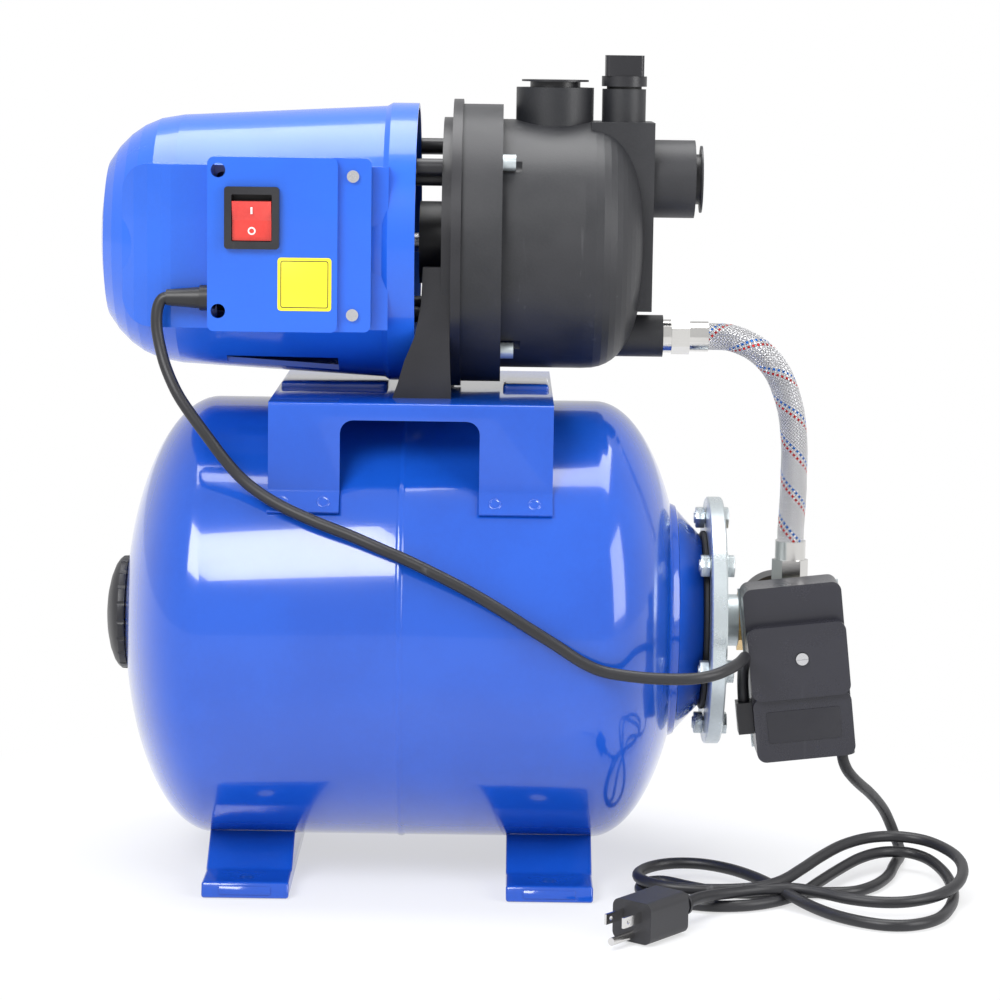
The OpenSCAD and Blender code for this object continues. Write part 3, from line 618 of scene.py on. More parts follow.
def side_plate(name: str, outline: Sequence[tuple[float, float]], left: float, right: float,
               edge: float = 0.0, segments: int = 2) -> bpy.types.Object:
    """Make a plate whose outline is in Y and Z and which reaches from left to right in X."""
    return plate(name, [(-b, a) for a, b in outline], right - left, Axis.X, (left, 0, 0), edge, segments)


def framed(low: tuple[float, float], high: tuple[float, float], radius: float,
           steps: int = 5) -> list[tuple[float, float]]:
    """Outline of a rectangle with rounded corners."""
    return arced([(low[0], low[1], radius), (high[0], low[1], radius), (high[0], high[1], radius),
                  (low[0], high[1], radius)], steps)


def block(name: str, low: Point, high: Point, edge: float = 1.0, segments: int = 3) -> bpy.types.Object:
    """Add a box between two corners in millimetres, with rounded edges."""
    clear_selection()
    bpy.ops.mesh.primitive_cube_add(size=1.0, location=(mm(*low) + mm(*high)) / 2,
                                    scale=mm(*high) - mm(*low))
    piece = named(name)
    bpy.ops.object.transform_apply(location=True, rotation=True, scale=True)
    if edge:
        soften(piece, edge, segments, 40.0)
    return piece


def rod(name: str, radius: float, length: float, centre: Point, axis: Axis, sides: int = 48,
        edge: float = 0.0, segments: int = 2) -> bpy.types.Object:
    """Add a bar that starts at a point and runs along the axis, with rounded ends."""
    clear_selection()
    bpy.ops.mesh.primitive_cylinder_add(vertices=sides, radius=radius * MM, depth=length * MM,
                                        location=(0, 0, length * MM / 2))
    piece = named(name)
    bpy.ops.object.transform_apply(location=True, rotation=True, scale=True)
    if edge:
        soften(piece, edge, segments, 50.0)
    return settle(piece, at(*centre, axis))


def smooth_line(points: Sequence[Point], parts: int = 6) -> list[Vector]:
    """Points of one smooth curve through the route's points, in metres.

    Args:
        points: the route, in millimetres.
        parts: how many short stretches lie between two of them.

    Returns:
        The curve's points.
    """
    route = [mm(*p) for p in points]
    route = [route[0] * 2 - route[1], *route, route[-1] * 2 - route[-2]]
    line: list[Vector] = []
    for a, b, c, d in zip(route, route[1:], route[2:], route[3:]):
        for k in range(parts):
            t = k / parts
            line.append(0.5 * (2 * b + (c - a) * t + (2 * a - 5 * b + 4 * c - d) * t * t
                               + (3 * b - a - 3 * c + d) * t ** 3))
    return [*line, route[-2]]


def flex(name: str, line: Sequence[Vector], diameter: float) -> bpy.types.Object:
    """Make a round flex as a curve along a line; the diameter is in millimetres."""
    data = bpy.data.curves.new(name, "CURVE")
    data.dimensions = "3D"
    data.bevel_depth = diameter / 2 * MM
    data.bevel_resolution = 5
    data.use_fill_caps = True
    spline = data.splines.new("POLY")
    spline.points.add(len(line) - 1)
    for point, place in zip(spline.points, line):
        point.co = (*place, 1.0)
    spline.use_smooth = True
    piece = bpy.data.objects.new(name, data)
    bpy.context.collection.objects.link(piece)
    return piece


@dataclass(frozen=True)
class Fitting:
    """How a finished piece is set on the frame: its body, finish and what it stands for."""

    body: str
    finish: Finish
    slot: str
    stands_for: tuple[str, ...] = ()
    angle: float = 35.0


def fit(piece: bpy.types.Object, how: Fitting) -> bpy.types.Object:
    """Dress a piece, smooth its rounded faces and set it on its body.

    Args:
        piece: the finished shape.
        how: its body, finish and the frame nodes it stands for.

    Returns:
        The same piece.
    """
    if piece.type == "MESH":
        take(piece)
        bpy.ops.object.shade_smooth_by_angle(angle=math.radians(how.angle))
    piece.data.materials.clear()
    piece.data.materials.append(how.finish.material())
    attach(piece, how.body)
    if how.stands_for:
        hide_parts(*how.stands_for)
    LOG.info("piece %s on %s", piece.name, how.body)
    return piece


# ---------------------------------------------------------------- studio


@dataclass
class Studio:
    """The camera, the pale floor and the soft lights."""

    eye: tuple[float, float, float] = (12.1, -2000.0, 519.2)
    pitch: float = 8.1
    roll: float = 0.8
    lens: float = 113.4
    floor_z: float = -0.4
    shadow_near: float = 220.0
    shadow_far: float = 450.0
    near_white: float = 0.6
    room_light: float = 0.45
    room_gloss: float = 0.25

    def build(self) -> None:
        """Set up the camera, the floor, the background and the lamps."""
        self._camera()
        self._floor()
        self._world()
        self._lamp("key_panel", (-900, -1500, 1500), (0, 0, 250), (1100, 900), 34.0)
        self._lamp("fill_panel", (1500, -900, 900), (0, 0, 220), (900, 1200), 16.0)
        self._lamp("top_panel", (0, 200, 1700), (0, 0, 300), (1600, 1000), 26.0)
        bpy.context.scene.view_settings.view_transform = "Standard"

    def _camera(self) -> None:
        """Add the camera at the viewing angle."""
        data = bpy.data.cameras.new("studio_camera")
        data.lens, data.sensor_width = self.lens, 36.0
        data.clip_end = 50.0
        camera = bpy.data.objects.new("studio_camera", data)
        turn = Matrix.Rotation(math.radians(90 - self.pitch), 4, "X") \
            @ Matrix.Rotation(math.radians(self.roll), 4, "Z")
        camera.matrix_world = Matrix.Translation(mm(*self.eye)) @ turn
        bpy.context.collection.objects.link(camera)
        bpy.context.scene.camera = camera

    def _floor(self) -> None:
        """Add a wide pale floor that is white away from the set and keeps the shadow near it."""
        clear_selection()
        bpy.ops.mesh.primitive_plane_add(size=16.0, location=mm(0, 0, self.floor_z))
        floor = named("studio_floor")
        bpy.ops.object.transform_apply(location=True)
        made = bpy.data.materials.new("pale_floor")
        made.use_nodes = True
        made.node_tree.nodes.clear()
        nodes = Nodes(made.node_tree)
        shader = nodes.add("BsdfPrincipled", Base_Color=(0.86, 0.87, 0.9, 1.0), Roughness=0.7)
        shader.inputs["Specular IOR Level"].default_value = 0.1
        glow = nodes.add("Emission", Color=(1.0, 1.0, 1.0, 1.0), Strength=1.0)
        path = nodes.add("LightPath")
        seen = nodes.maths("MAXIMUM", path.outputs["Is Camera Ray"], path.outputs["Is Glossy Ray"])
        seen = nodes.maths("MAXIMUM", seen, path.outputs["Is Transmission Ray"])
        near = nodes.add("NewGeometry").outputs["Position"]
        reach = nodes.add("VectorMath", set_operation="LENGTH", i0=near)
        far = nodes.ramp(reach.outputs["Value"], self.shadow_near * MM, self.shadow_far * MM,
                         self.near_white, 1.0)
        share = nodes.maths("MULTIPLY", seen, far)
        both = nodes.add("MixShader", Fac=share, i1=shader.outputs[0], i2=glow.outputs[0])
        out = nodes.tree.nodes.new("ShaderNodeOutputMaterial")
        nodes.tree.links.new(both.outputs[0], out.inputs["Surface"])
        floor.data.materials.append(made)

    def _world(self) -> None:
        """Light the room softly and show a white background."""
        world = bpy.data.worlds.new("studio_room")
        bpy.context.scene.world = world
        world.use_nodes = True
        world.node_tree.nodes.clear()
        nodes = Nodes(world.node_tree)
        path = nodes.add("LightPath")
        seen = nodes.maths("MAXIMUM", path.outputs["Is Camera Ray"], path.outputs["Is Transmission Ray"])
        direct = nodes.maths("MULTIPLY", seen, 1.0 - self.room_light)
        glossy = nodes.maths("MULTIPLY", path.outputs["Is Glossy Ray"], self.room_gloss)
        strength = nodes.maths("ADD", direct, nodes.maths("ADD", glossy, self.room_light), True)
        room = nodes.add("Background", Color=(1.0, 1.0, 1.0, 1.0), Strength=strength)
        out = nodes.tree.nodes.new("ShaderNodeOutputWorld")
        nodes.tree.links.new(room.outputs[0], out.inputs["Surface"])

    def _lamp(self, name: str, place: Point, aim: Point, size: tuple[float, float], power: float) -> None:
        """Add one soft lamp panel that points at a place."""
        data = bpy.data.lights.new(name, "AREA")
        data.shape = "RECTANGLE"
        data.size, data.size_y = size[0] * MM, size[1] * MM
        data.energy = power
        lamp = bpy.data.objects.new(name, data)
        way = mm(*aim) - mm(*place)
        lamp.matrix_world = Matrix.Translation(mm(*place)) @ way.to_track_quat("-Z", "Y").to_matrix().to_4x4()
        bpy.context.collection.objects.link(lamp)


# ---------------------------------------------------------------- hose and leads


@dataclass
class Leads:
    """The braided hose, the motor lead and the mains lead with its loops."""

    lead: float = 7.2
    hose: float = 17.0
    hose_route: tuple[Point, ...] = (
        (143, 0, 341.5), (150, 0, 341.5), (157, 0, 341), (165, 0, 338.5), (173, 0, 334.5), (181, 0, 328),
        (188, 0, 319), (193, 0, 308), (197, 0, 295), (199, 0, 282), (200, 0, 269), (200, 0, 256),
        (200, 0, 243), (199.5, 0, 230), (199, 0, 219), (199, 0, 211))
    motor_route: tuple[Point, ...] = (
        (-182, -92, 369), (-191.5, -92, 369), (-195.5, -92, 366.5), (-197.5, -92.5, 360),
        (-197.5, -93.5, 350),
        (-195, -96, 338), (-191, -100, 326), (-184, -105, 312), (-175, -108, 299), (-165, -110, 286),
        (-155, -111, 273), (-145, -112, 262), (-133, -115, 253), (-118, -119, 245), (-98, -124, 237),
        (-78, -128, 230), (-60, -132, 223), (-45, -134, 217), (-29, -137, 210), (-8, -140, 200),
        (12, -142.5, 189), (30, -144, 178), (48, -145, 167), (62, -145, 158), (76, -145, 152),
        (97, -145, 149), (115, -144.5, 148), (130, -142, 148), (142, -136, 149), (152, -126, 151),
        (159, -112, 152), (163, -97, 152), (165, -82, 150), (166, -69, 145.5), (166.3, -57.5, 138),
        (166.8, -49, 128), (167.7, -45.2, 116), (169, -45, 104))
    mains_drop: tuple[Point, ...] = (
        (231.5, -39, 85.5), (232.5, -38.5, 77), (235.5, -35, 69.5), (240, -28.5, 63), (246, -19, 56),
        (253, -7, 48.5), (260, 5, 40), (266.5, 15.5, 30.5), (271.5, 22, 20.5), (275, 22.5, 12),
        (277, 17, 6.5), (277, 8, 4), (275, -3, 3.6), (272, -13, 3.6))
    mains_loops: tuple[Point, ...] = (
        (268, -28, 3.6), (264, -44, 3.6), (258, -60, 3.6), (249, -76, 3.6), (237, -88, 3.6), (222, -92, 3.6),
        (204, -92, 3.6), (186, -94, 3.6), (168, -96, 3.6), (150, -92, 3.6), (134, -82, 3.6),
        (118, -70, 3.6), (106, -76, 3.6), (103, -92, 3.6), (110, -108, 3.6), (126, -120, 3.6),
        (146, -127, 3.6), (168, -124, 3.6), (188, -112, 3.8), (204, -96, 5), (216, -78, 7),
        (230, -56, 9), (246, -34, 11), (262, -20, 11.5), (278, -18, 11), (290, -28, 9.5),
        (297, -48, 7), (299, -72, 5), (297, -98, 3.8), (291, -124, 3.6), (281, -148, 3.6),
        (266, -162, 3.6), (250, -165, 3.6), (234, -158, 3.6), (218, -144, 3.8), (204, -126, 5),
        (190, -110, 9), (176, -88, 11), (160, -68, 11.5), (142, -56, 11.5), (124, -54, 11),
        (110, -62, 10.5), (102, -78, 10.5), (104, -96, 11), (116, -110, 11.2), (134, -116, 11.2),
        (154, -117, 11.4), (174, -113, 12), (190, -102, 13.5), (204, -84, 16.5), (218, -62, 19),
        (234, -40, 21), (252, -23, 21.5), (271, -16, 21), (289, -22, 20), (301, -40, 18.5),
        (306, -62, 17), (304, -86, 15), (296, -108, 13), (282, -126, 11.5), (264, -136, 10.5),
        (246, -137, 10.2), (228, -130, 10.2), (212, -119, 10.8), (196, -111, 11), (178, -113, 10.6),
        (162, -121, 11), (148, -131, 12), (137, -142, 13), (129, -152.5, 13))

    def build(self) -> None:
        self._hose()
        self._motor_lead()
        self._mains_lead()

    def _hose(self) -> None:
        """Make the braided hose as a tube that carries its own weave coordinates."""
        line = smooth_line(self.hose_route, 5)
        piece = braided_tube("braided_hose", line, self.hose / 2)
        fit(piece, Fitting("set", BRAID, "braid", ("pressure_hose",), 60.0))

    def _motor_lead(self) -> None:
        """Make the lead from the terminal box to the pressure switch."""
        line = smooth_line(self.motor_route, 5)
        piece = fit(flex("motor_flex", line, self.lead), Fitting("set", RUBBER, "rubber", ("motor_lead",)))

    def _mains_lead(self) -> None:
        """Make the mains lead in one length, with its loops in the middle."""
        line = smooth_line(self.mains_drop + self.mains_loops, 5)
        piece = fit(flex("mains_flex", line, self.lead),
                    Fitting("set", RUBBER, "rubber", ("mains_lead", "lead_hank")))


def braided_tube(name: str, line: Sequence[Vector], radius: float, sides: int = 40) -> bpy.types.Object:
    """Sweep a tube along a line with UV running round it and along it.

    Args:
        name: the piece's name.
        line: the centre line, in metres.
        radius: the tube's radius in millimetres.
        sides: how many faces go round.

    Returns:
        The tube; one turn of UV is as long as the tube is round.
    """
    mesh = bpy.data.meshes.new(name)
    build = bmesh.new()
    layer = build.loops.layers.uv.new("weave")
    girth = 2 * math.pi * radius * MM
    rings, runs, run = [], [], 0.0
    for i, place in enumerate(line):
        way = (line[min(i + 1, len(line) - 1)] - line[max(i - 1, 0)]).normalized()
        side = Vector((0, 1, 0))
        up = way.cross(side).normalized()
        rings.append([build.verts.new(place + radius * MM * (
            math.cos(2 * math.pi * k / sides) * side + math.sin(2 * math.pi * k / sides) * up))
            for k in range(sides)])
        run += (place - line[i - 1]).length if i else 0.0
        runs.append(run / girth)
    for i, (low, high) in enumerate(zip(rings, rings[1:])):
        for k in range(sides):
            face = build.faces.new((low[k], low[(k + 1) % sides], high[(k + 1) % sides], high[k]))
            for loop, (u, v) in zip(face.loops, ((k, i), (k + 1, i), (k + 1, i + 1), (k, i + 1))):
                loop[layer].uv = (u / sides, runs[v])
    for ring in (rings[0], rings[-1][::-1]):
        build.faces.new(ring[::-1])
    bmesh.ops.recalc_face_normals(build, faces=build.faces)
    build.to_mesh(mesh)
    build.free()
    piece = bpy.data.objects.new(name, mesh)
    bpy.context.collection.objects.link(piece)
    return piece

# ---------------------------------------------------------------- tank, feet, bracket and flange


def oval_end(start: float, reach: float, radius: float, low: float, high: float,
             count: int) -> list[tuple[float, float]]:
    """Profile points of a domed end.

    Args:
        start: where the dome begins along the axis.
        reach: how far it stands out, with its sign.
        radius: the radius where it begins.
        low: the first angle, in degrees.
        high: the last angle, in degrees.
        count: how many steps lie between them.

    Returns:
        (place along the axis, radius) of each point.
    """
    angles = [math.radians(low + (high - low) * i / count) for i in range(count + 1)]
    return [(start + reach * math.sin(a), max(radius * math.cos(a), 0.0)) for a in angles]


@dataclass
class Tank:
    """The welded tank with its air valve's cap, flange, bolts and nuts."""

    radius: float = 140.0
    height: float = 158.5
    middle_x: float = -48.0
    straight: float = 120.0
    dome: float = 58.0
    neck: float = 75.0
    bead: float = 1.1
    bead_half: float = 2.6
    bolt_circle: float = 66.0
    bolt_turn: float = 19.0
    bolt_count: int = 6
    cap_grips: int = 20

    def build(self) -> None:
        """Make every piece of the tank."""
        self._shell()
        self._flange()
        self._bolts()
        self._valve_cap()

    def _shell(self) -> None:
        """Turn both halves of the shell with the weld that joins them."""
        left, right = self.middle_x - self.straight, self.middle_x + self.straight
        stop = math.degrees(math.acos(self.neck / self.radius))
        bead = [(self.middle_x + self.bead_half * k / 3, self.radius + self.bead * (1 - abs(k) / 3) ** 0.5)
                for k in range(-3, 4)]
        corners = oval_end(left, -self.dome, self.radius, 90, 0, 26)
        corners += bead + oval_end(right, self.dome, self.radius, 0, stop, 20)
        corners += [(123.2, 74.2), (124.6, 73.4), (125.0, 72.0), (125.6, 71.2), (140.6, 55.0), (141.4, 53.6),
                    (141.4, 46.0), (128.0, 46.0)]
        skin = turned("tank_skin", corners, Axis.X, (0, 0, self.height), 160)
        fit(skin, Fitting("set", TANK_BLUE, "tank_blue", ("tank_shell_left", "tank_shell_right"), 42.0))

    def _flange(self) -> None:
        """Turn the pressed flange ring with its rolled edge and its bore."""
        corners = [(144.8, 18.6), (144.8, 78.4), (145.6, 79.4), (153.6, 79.4), (154.6, 78.4), (154.6, 76.2),
                   (154.1, 74.6), (154.1, 30.0), (155.2, 27.5), (155.2, 18.2), (144.8, 18.6)]
        ring = turned("flange_ring", corners, Axis.X, (0, 0, self.height), 128)
        fit(ring, Fitting("set", ZINC, "zinc", ("tank_flange",), 32.0))
        gasket = turned("flange_gasket", [(141.5, 44.0), (141.5, 56.5), (142.3, 57.4), (144.0, 57.4),
                                          (144.7, 56.5), (144.7, 44.0)], Axis.X, (0, 0, self.height), 96)
        fit(gasket, Fitting("set", SEAL_RUBBER, "rubber"))

    def _bolts(self) -> None:
        """Make one bolt and one nut, and copy them round the flange."""
        turn = math.radians(self.bolt_turn)
        y = -self.bolt_circle * math.cos(turn)
        z = self.height - self.bolt_circle * math.sin(turn)
        head = rod("flange_bolt", 7.5, 5.3, (154.3, y, z), Axis.X, 6, 0.5)
        dome = turned("bolt_crown", [(159.4, 5.6), (159.9, 4.6), (160.1, 0.0)], Axis.X, (0, y, z), 24)
        washer = turned("bolt_washer", [(153.9, 4.0), (153.9, 8.2), (155.3, 8.2), (155.5, 7.8), (155.5, 4.0)],
                        Axis.X, (0, y, z), 32)
        shank = rod("bolt_shank", 3.95, 17.0, (137.4, y, z), Axis.X, 20, 0.6)
        head = join("flange_bolt", [head, dome, washer, shank])
        heads = ringed("flange_bolt_ring", head, self.bolt_count, (0, 0, self.height), Axis.X)
        fit(heads, Fitting("set", ZINC, "zinc", ("flange_bolts",), 30.0))
        nut = rod("flange_nut", 7.4, 5.8, (138.4, y, z), Axis.X, 6, 0.6)
        nuts = ringed("flange_nut_ring", nut, self.bolt_count, (0, 0, self.height), Axis.X)
        fit(nuts, Fitting("set", ZINC, "zinc", ("flange_nuts",), 30.0))

    def _valve_cap(self) -> None:
        """Turn the domed valve cap and press the grips into its rim."""
        outside = [(-239.4, 0.0), (-239.0, 9.0), (-237.9, 17.0), (-236.0, 25.0), (-233.4, 31.5),
                   (-231.2, 34.6), (-229.2, 36.2), (-226.6, 36.4), (-225.2, 36.0)]
        inside = [(-224.9, 34.4), (-226.4, 31.0), (-228.0, 20.0), (-228.2, 0.0)]
        corners = outside + inside
        cap = turned("valve_dome", corners, Axis.X, (0, 0, self.height), 96)
        tool = rod("grip_tool", 2.6, 16.0, (-241.0, 0, self.height + 38.2), Axis.X, 16)
        cut(cap, ringed("grip_tools", tool, self.cap_grips, (0, 0, self.height), Axis.X))
        soften(cap, 0.4, 2, 40.0)
        fit(cap, Fitting("valve_cover", SATIN_BLACK, "black_gloss", ("valve_cap",), 30.0))


@dataclass
class Feet:
    """The pair of pressed feet under the tank."""

    places: tuple[float, float] = (-142.0, 46.0)
    width: float = 54.0
    half: float = 112.0
    height: float = 9.5
    sheet: float = 2.5
    hole: float = 4.5
    hole_y: float = 95.0
    tank_r: float = 140.15
    tank_z: float = 158.5
    press_half: float = 16.0

    def build(self) -> None:
        """Press one foot and copy it to the other place."""
        foot = self._foot()
        other = copied(foot, Matrix.Translation(mm(self.places[1] - self.places[0], 0, 0)))
        feet = join("pressed_feet", [foot, other])
        fit(feet, Fitting("set", TANK_BLUE, "tank_blue", ("tank_feet",), 35.0))

    def _foot(self) -> bpy.types.Object:
        """Pull the foot's outline across its width, hollow it and cut it to the tank.

        Returns:
            One foot, in its place.
        """
        x = self.places[0]
        low, high = x - self.width / 2, x + self.width / 2
        top, under = self.height, self.height - self.sheet
        outer = arced([(-self.half, 0, 0), (-self.half + 3.2, top, 2.2), (-78, top, 9), (-47, 29, 3),
                       (47, 29, 3), (78, top, 9), (self.half - 3.2, top, 2.2), (self.half, 0, 0)], 4)
        inner = arced([(-self.half + 2.7, -2, 0), (-self.half + 5.7, under, 1), (-77, under, 6),
                       (-46, 25.6, 0), (46, 25.6, 0), (77, under, 6),
                       (self.half - 5.7, under, 1), (self.half - 2.7, -2, 0)], 3)
        foot = side_plate("pressed_foot", outer, low, high)
        soften(foot, 1.6, 3, 50.0)
        hollow = side_plate("foot_hollow", inner, low + self.sheet, high - self.sheet)
        belly = rod("belly_tool", self.tank_r, 90.0, (low - 15, 0, self.tank_z), Axis.X, 160)
        tools = [hollow, belly]
        tools += [rod("hole_tool", self.hole, 30.0, (x, side * self.hole_y, -5.0), Axis.Z, 32)
                  for side in (-1, 1)]
        cut(foot, *tools)
        ribs = []
        for side in (-1, 1):
            end = side * self.half
            outline = [(end - side * 0.9, 2.6), (end - side * 2.2, 7.0), (end - side * 1.6, 7.2), (end, 2.4)]
            ribs.append(side_plate("front_press", outline, x - self.press_half, x + self.press_half, 0.3, 2))
        return join("pressed_foot", [foot, *ribs])


@dataclass
class Bracket:
    """The sheet-metal saddle that carries the pump on the tank."""

    low_x: float = -129.0
    high_x: float = 44.0
    top: float = 307.5
    half: float = 105.0
    sheet: float = 2.0
    tab: float = 14.0
    tank_r: float = 140.0
    tank_z: float = 158.5
    window_low: tuple[float, float] = (-85.5, 200.0)
    window_high: tuple[float, float] = (-0.7, 297.0)
    swages: tuple[tuple[float, float], ...] = ((-127.0, -60.0), (13.0, 42.0))
    swage_half: float = 22.0
    swage_h: float = 4.0
    bolt_x: float = -33.0
    bolt_y: float = 50.0
    weld_x: tuple[float, ...] = (-120.0, -95.0, 9.0, 33.0)

    def build(self) -> None:
        """Fold the saddle, cut its windows, press its swages and mark its spot welds."""
        saddle = self._saddle()
        fit(saddle, Fitting("set", TANK_BLUE, "tank_blue", ("pump_bracket",), 35.0))
        self._welds()

    def _outline(self) -> list[tuple[float, float]]:
        """Outline of the folded sheet, seen along the tank.

        Returns:
            (y, z) of its corners, round the whole sheet.
        """
        angle = math.asin(self.half / self.tank_r)
        root = Vector((-self.half, self.tank_z + self.tank_r * math.cos(angle)))
        out, down = Vector((-math.sin(angle), math.cos(angle))), Vector((-math.cos(angle), -math.sin(angle)))
        inner = root + out * 0.3
        foot, fold = inner + down * self.tab, inner + Vector((2.2, 2.6))
        outside = [(-self.half, self.top, 2.6), (*(inner + out * 2 + Vector((1.1, 1.1))), 4.0),
                   (*(foot + out * self.sheet), 0.6), (*foot, 0.3), (*fold, 3.0),
                   (-self.half + self.sheet, self.top - self.sheet, 0.7)]
        mirrored = [(-y, z, r) for y, z, r in reversed(outside)]
        return arced(outside + mirrored, 4)

    def _saddle(self) -> bpy.types.Object:
        """Pull the folded outline along the tank and cut and press it.

        Returns:
            The saddle.
        """
        saddle = side_plate("saddle_sheet", self._outline(), self.low_x, self.high_x)
        tools = [front_plate("window_tool", framed(self.window_low, self.window_high, 8), -160, 160)]
        half, wall = self.swage_half, self.sheet
        for low, high in self.swages:
            tools.append(block("swage_tool", (low + wall, -half + wall, 295),
                               (high - wall, half - wall, 320), 0))
        cut(saddle, *tools)
        for low, high in self.swages:
            shell = block("swage", (low, -half, self.top - wall), (high, half, self.top + self.swage_h), 0)
            soften(shell, 2.0, 3, 40.0)
            inside = block("swage_inside", (low + wall, -half + wall, self.top - 10),
                           (high - wall, half - wall, self.top + 2.2), 1.0, 2)
            cut(shell, inside)
            saddle = join("saddle_sheet", [saddle, shell])
        cut(saddle, *[rod("bolt_hole", 3.3, 30.0, (self.bolt_x, side * self.bolt_y, 295), Axis.Z, 24)
                      for side in (-1, 1)])
        return saddle

    def _welds(self) -> None:
        """Mark the spot welds on both rows of tabs."""
        angle = math.asin(self.half / self.tank_r)
        root = Vector((-self.half, self.tank_z + self.tank_r * math.cos(angle)))
        out, down = Vector((-math.sin(angle), math.cos(angle))), Vector((-math.cos(angle), -math.sin(angle)))
        spot = root + out * 2.15 + down * 6.5
        marks = []
        for x in self.weld_x:
            ring = turned("spot_weld", [(-0.2, 4.4), (0.35, 3.9), (0.5, 3.4), (0.25, 2.8), (-0.15, 2.2),
                                        (-0.25, 1.2), (-0.1, 0.0)], Axis.Z, (0, 0, 0), 28)
            lean = Matrix.Rotation(math.atan2(out.y, out.x) - math.pi / 2, 4, "X")
            near = settle(ring, Matrix.Translation(mm(x, spot.x, spot.y)) @ lean)
            marks.append(near)
            across = Matrix.Rotation(math.pi, 4, "Z") @ Matrix.Translation(mm(-2 * x, 0, 0))
            marks.append(copied(near, across))
        fit(join("spot_welds", marks), Fitting("set", TANK_BLUE, "tank_blue", (), 60.0))


# ---------------------------------------------------------------- label, marks and plates


@dataclass
class FaceMarks:
    """The bare yellow label, the rocker's marks and the switch's bare plate."""

    label_low: tuple[float, float] = (-124.0, 362.4)
    label_high: tuple[float, float] = (-91.5, 394.5)
    box_front: float = -100.0
    border: float = 1.8
    rocker_pivot: Point = (-139.5, -92.0, 418.2)
    rocker_tilt: float = 9.0
    switch_pivot: Point = (199.0, -19.0, 158.5)
    switch_lean: float = -6.5

    def build(self) -> None:
        """Make the label and its border, the marks and the plate."""
        self._label()
        self._marks()
        self._switch_plate()

    def _label(self) -> None:
        """Lay the label on the terminal box, with a thin border line."""
        low, high = self.label_low, self.label_high
        label = front_plate("box_label", framed(low, high, 2), self.box_front - 0.35,
                            self.box_front + 0.05, 0.12, 2)
        fit(label, Fitting("set", LABEL, "white"))
        inset = self.border
        line = front_plate("label_border", framed((low[0] + inset, low[1] + inset),
                                                  (high[0] - inset, high[1] - inset), 1.4),
                           self.box_front - 0.45, self.box_front - 0.3)
        hollow = front_plate("border_tool", framed((low[0] + inset + 0.5, low[1] + inset + 0.5),
                                                   (high[0] - inset - 0.5, high[1] - inset - 0.5), 1.0),
                             self.box_front - 1.0, self.box_front + 1.0)
        fit(cut(line, hollow), Fitting("set", PLATE, "black_gloss"))

    def _marks(self) -> None:
        """Set the plain on and off marks on the rocker."""
        turn = Matrix.Rotation(math.radians(self.rocker_tilt), 4, "X")
        tilt = Matrix.Translation(mm(*self.rocker_pivot)) @ turn
        upper = block("on_mark", (-0.6, -11.35, 4.2), (0.6, -10.6, 8.4), 0.1, 2)
        ring = turned("off_mark", [(-10.5, 1.5), (-11.1, 1.5), (-11.1, 2.4), (-10.5, 2.4), (-10.5, 1.5)],
                      Axis.Y, (0, 0, -6.2), 32)
        for mark in (upper, ring):
            settle(mark, tilt)
            fit(mark, Fitting("rocker", MARK_WHITE, "white"))

    def _switch_plate(self) -> None:
        """Lay the bare plate on the lower face of the switch cover."""
        lean = Matrix.Rotation(math.radians(self.switch_lean), 4, "Y")
        face = front_plate("switch_plate", framed((-23, -66), (23, -46), 1.5), -40.5, -39.9, 0.15, 2)
        settle(face, Matrix.Translation(mm(*self.switch_pivot)) @ lean)
        fit(face, Fitting("set", PLATE, "black_gloss"))


PARTS: tuple[type, ...] = (Tank, Feet, Bracket, FaceMarks)




# ---------------------------------------------------------------- frame nodes that stay


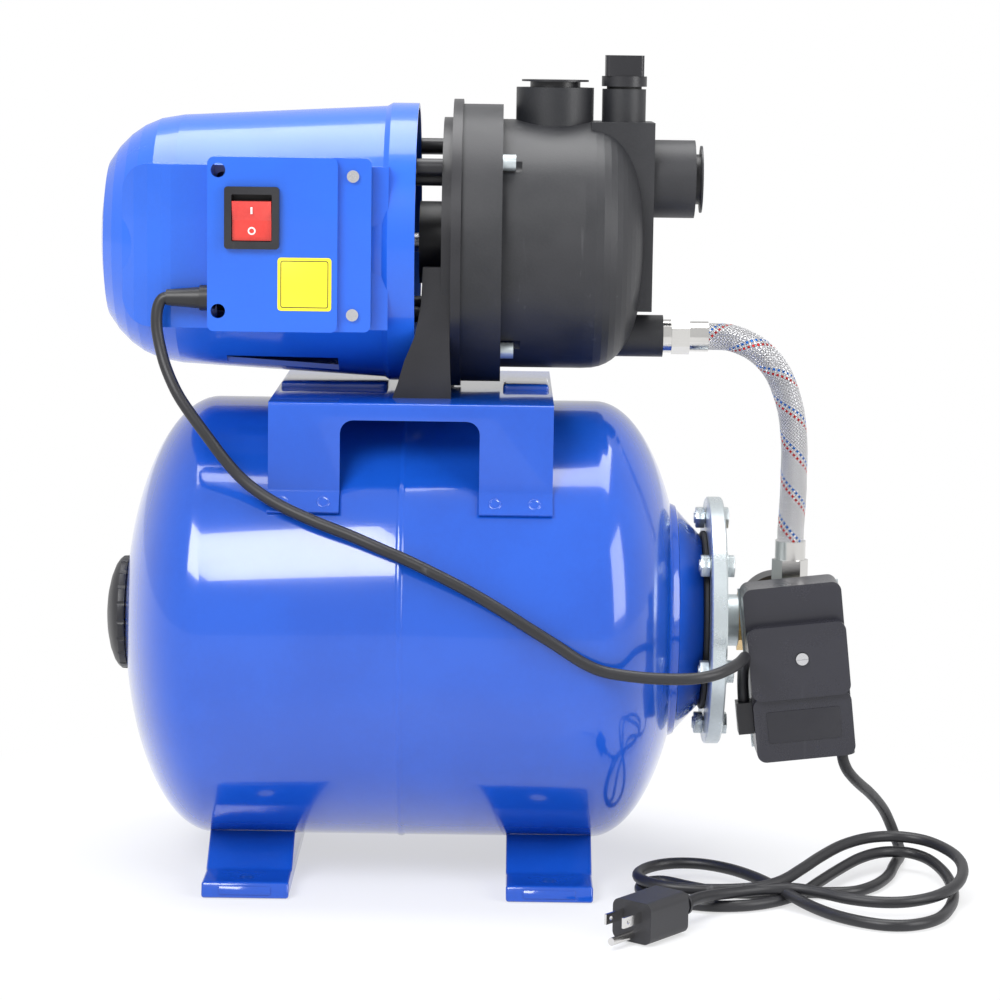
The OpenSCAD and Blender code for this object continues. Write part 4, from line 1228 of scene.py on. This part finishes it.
FRAME_FINISHES: dict[str, Finish] = {
    "tank_shell_left": TANK_BLUE, "tank_shell_right": TANK_BLUE, "tank_feet": TANK_BLUE,
    "pump_bracket": TANK_BLUE, "tank_flange": ZINC, "flange_bolts": ZINC, "flange_nuts": ZINC,
    "tank_membrane": SEAL_RUBBER, "air_valve": BRASS, "valve_cap": SATIN_BLACK, "pipe_nipple": ZINC,
    "five_way_fitting": BRASS, "gauge_case": SATIN_BLACK, "gauge_dial": DIAL_WHITE,
    "gauge_pointer": SATIN_BLACK, "gauge_glass": CLEAR, "switch_base": ZINC, "switch_cover": COVER_BLACK,
    "switch_cover_screw": STEEL, "switch_glands": SATIN_BLACK, "switch_diaphragm": STEEL,
    "switch_lever": ZINC, "contact_block": BAKELITE, "hose_ends": NICKEL, "hose_adapter": NICKEL,
    "pump_casing": CAST_BLACK, "casing_bolts": ZINC, "casing_seal": SEAL_RUBBER, "diffuser": IVORY,
    "jet_nozzle": IVORY, "impeller": BRASS, "shaft_seal": SEAL_RUBBER, "seal_seat": CERAMIC,
    "back_plate": SATIN_BLACK, "motor_foot": SATIN_BLACK, "foot_bolts": ZINC, "outlet_cap": SATIN_BLACK,
    "inlet_cap": SATIN_BLACK, "fill_plug": SATIN_BLACK, "fill_plug_seal": SEAL_RUBBER,
    "rotor_shaft": STEEL, "rotor_core": CORE, "stator_core": CORE, "stator_windings": COPPER,
    "ball_bearings": STEEL, "end_shield": ALU, "cooling_fan": SATIN_BLACK, "motor_cover": COVER_BLUE,
    "capacitor": SATIN_BLACK, "terminal_box": COVER_BLUE, "box_screws": STEEL, "switch_bezel": SATIN_BLACK,
    "rocker_button": ROCKER_RED, "cable_gland": RUBBER, "plug_body": PLUG_BLACK, "plug_pins": NICKEL}


def dress_frame() -> None:
    """Give every frame node that still shows its own finish."""
    for node, finish in FRAME_FINISHES.items():
        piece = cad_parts[node]
        if piece.hide_render:
            continue
        for place in piece.material_slots:
            place.material = finish.material()


# ---------------------------------------------------------------- the whole set


def main() -> None:
    """Build the studio and every sub-assembly in order."""
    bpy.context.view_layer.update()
    Studio().build()
    Leads().build()
    for part in PARTS:
        part().build()
    dress_frame()


if __name__ == "__main__":
    main()
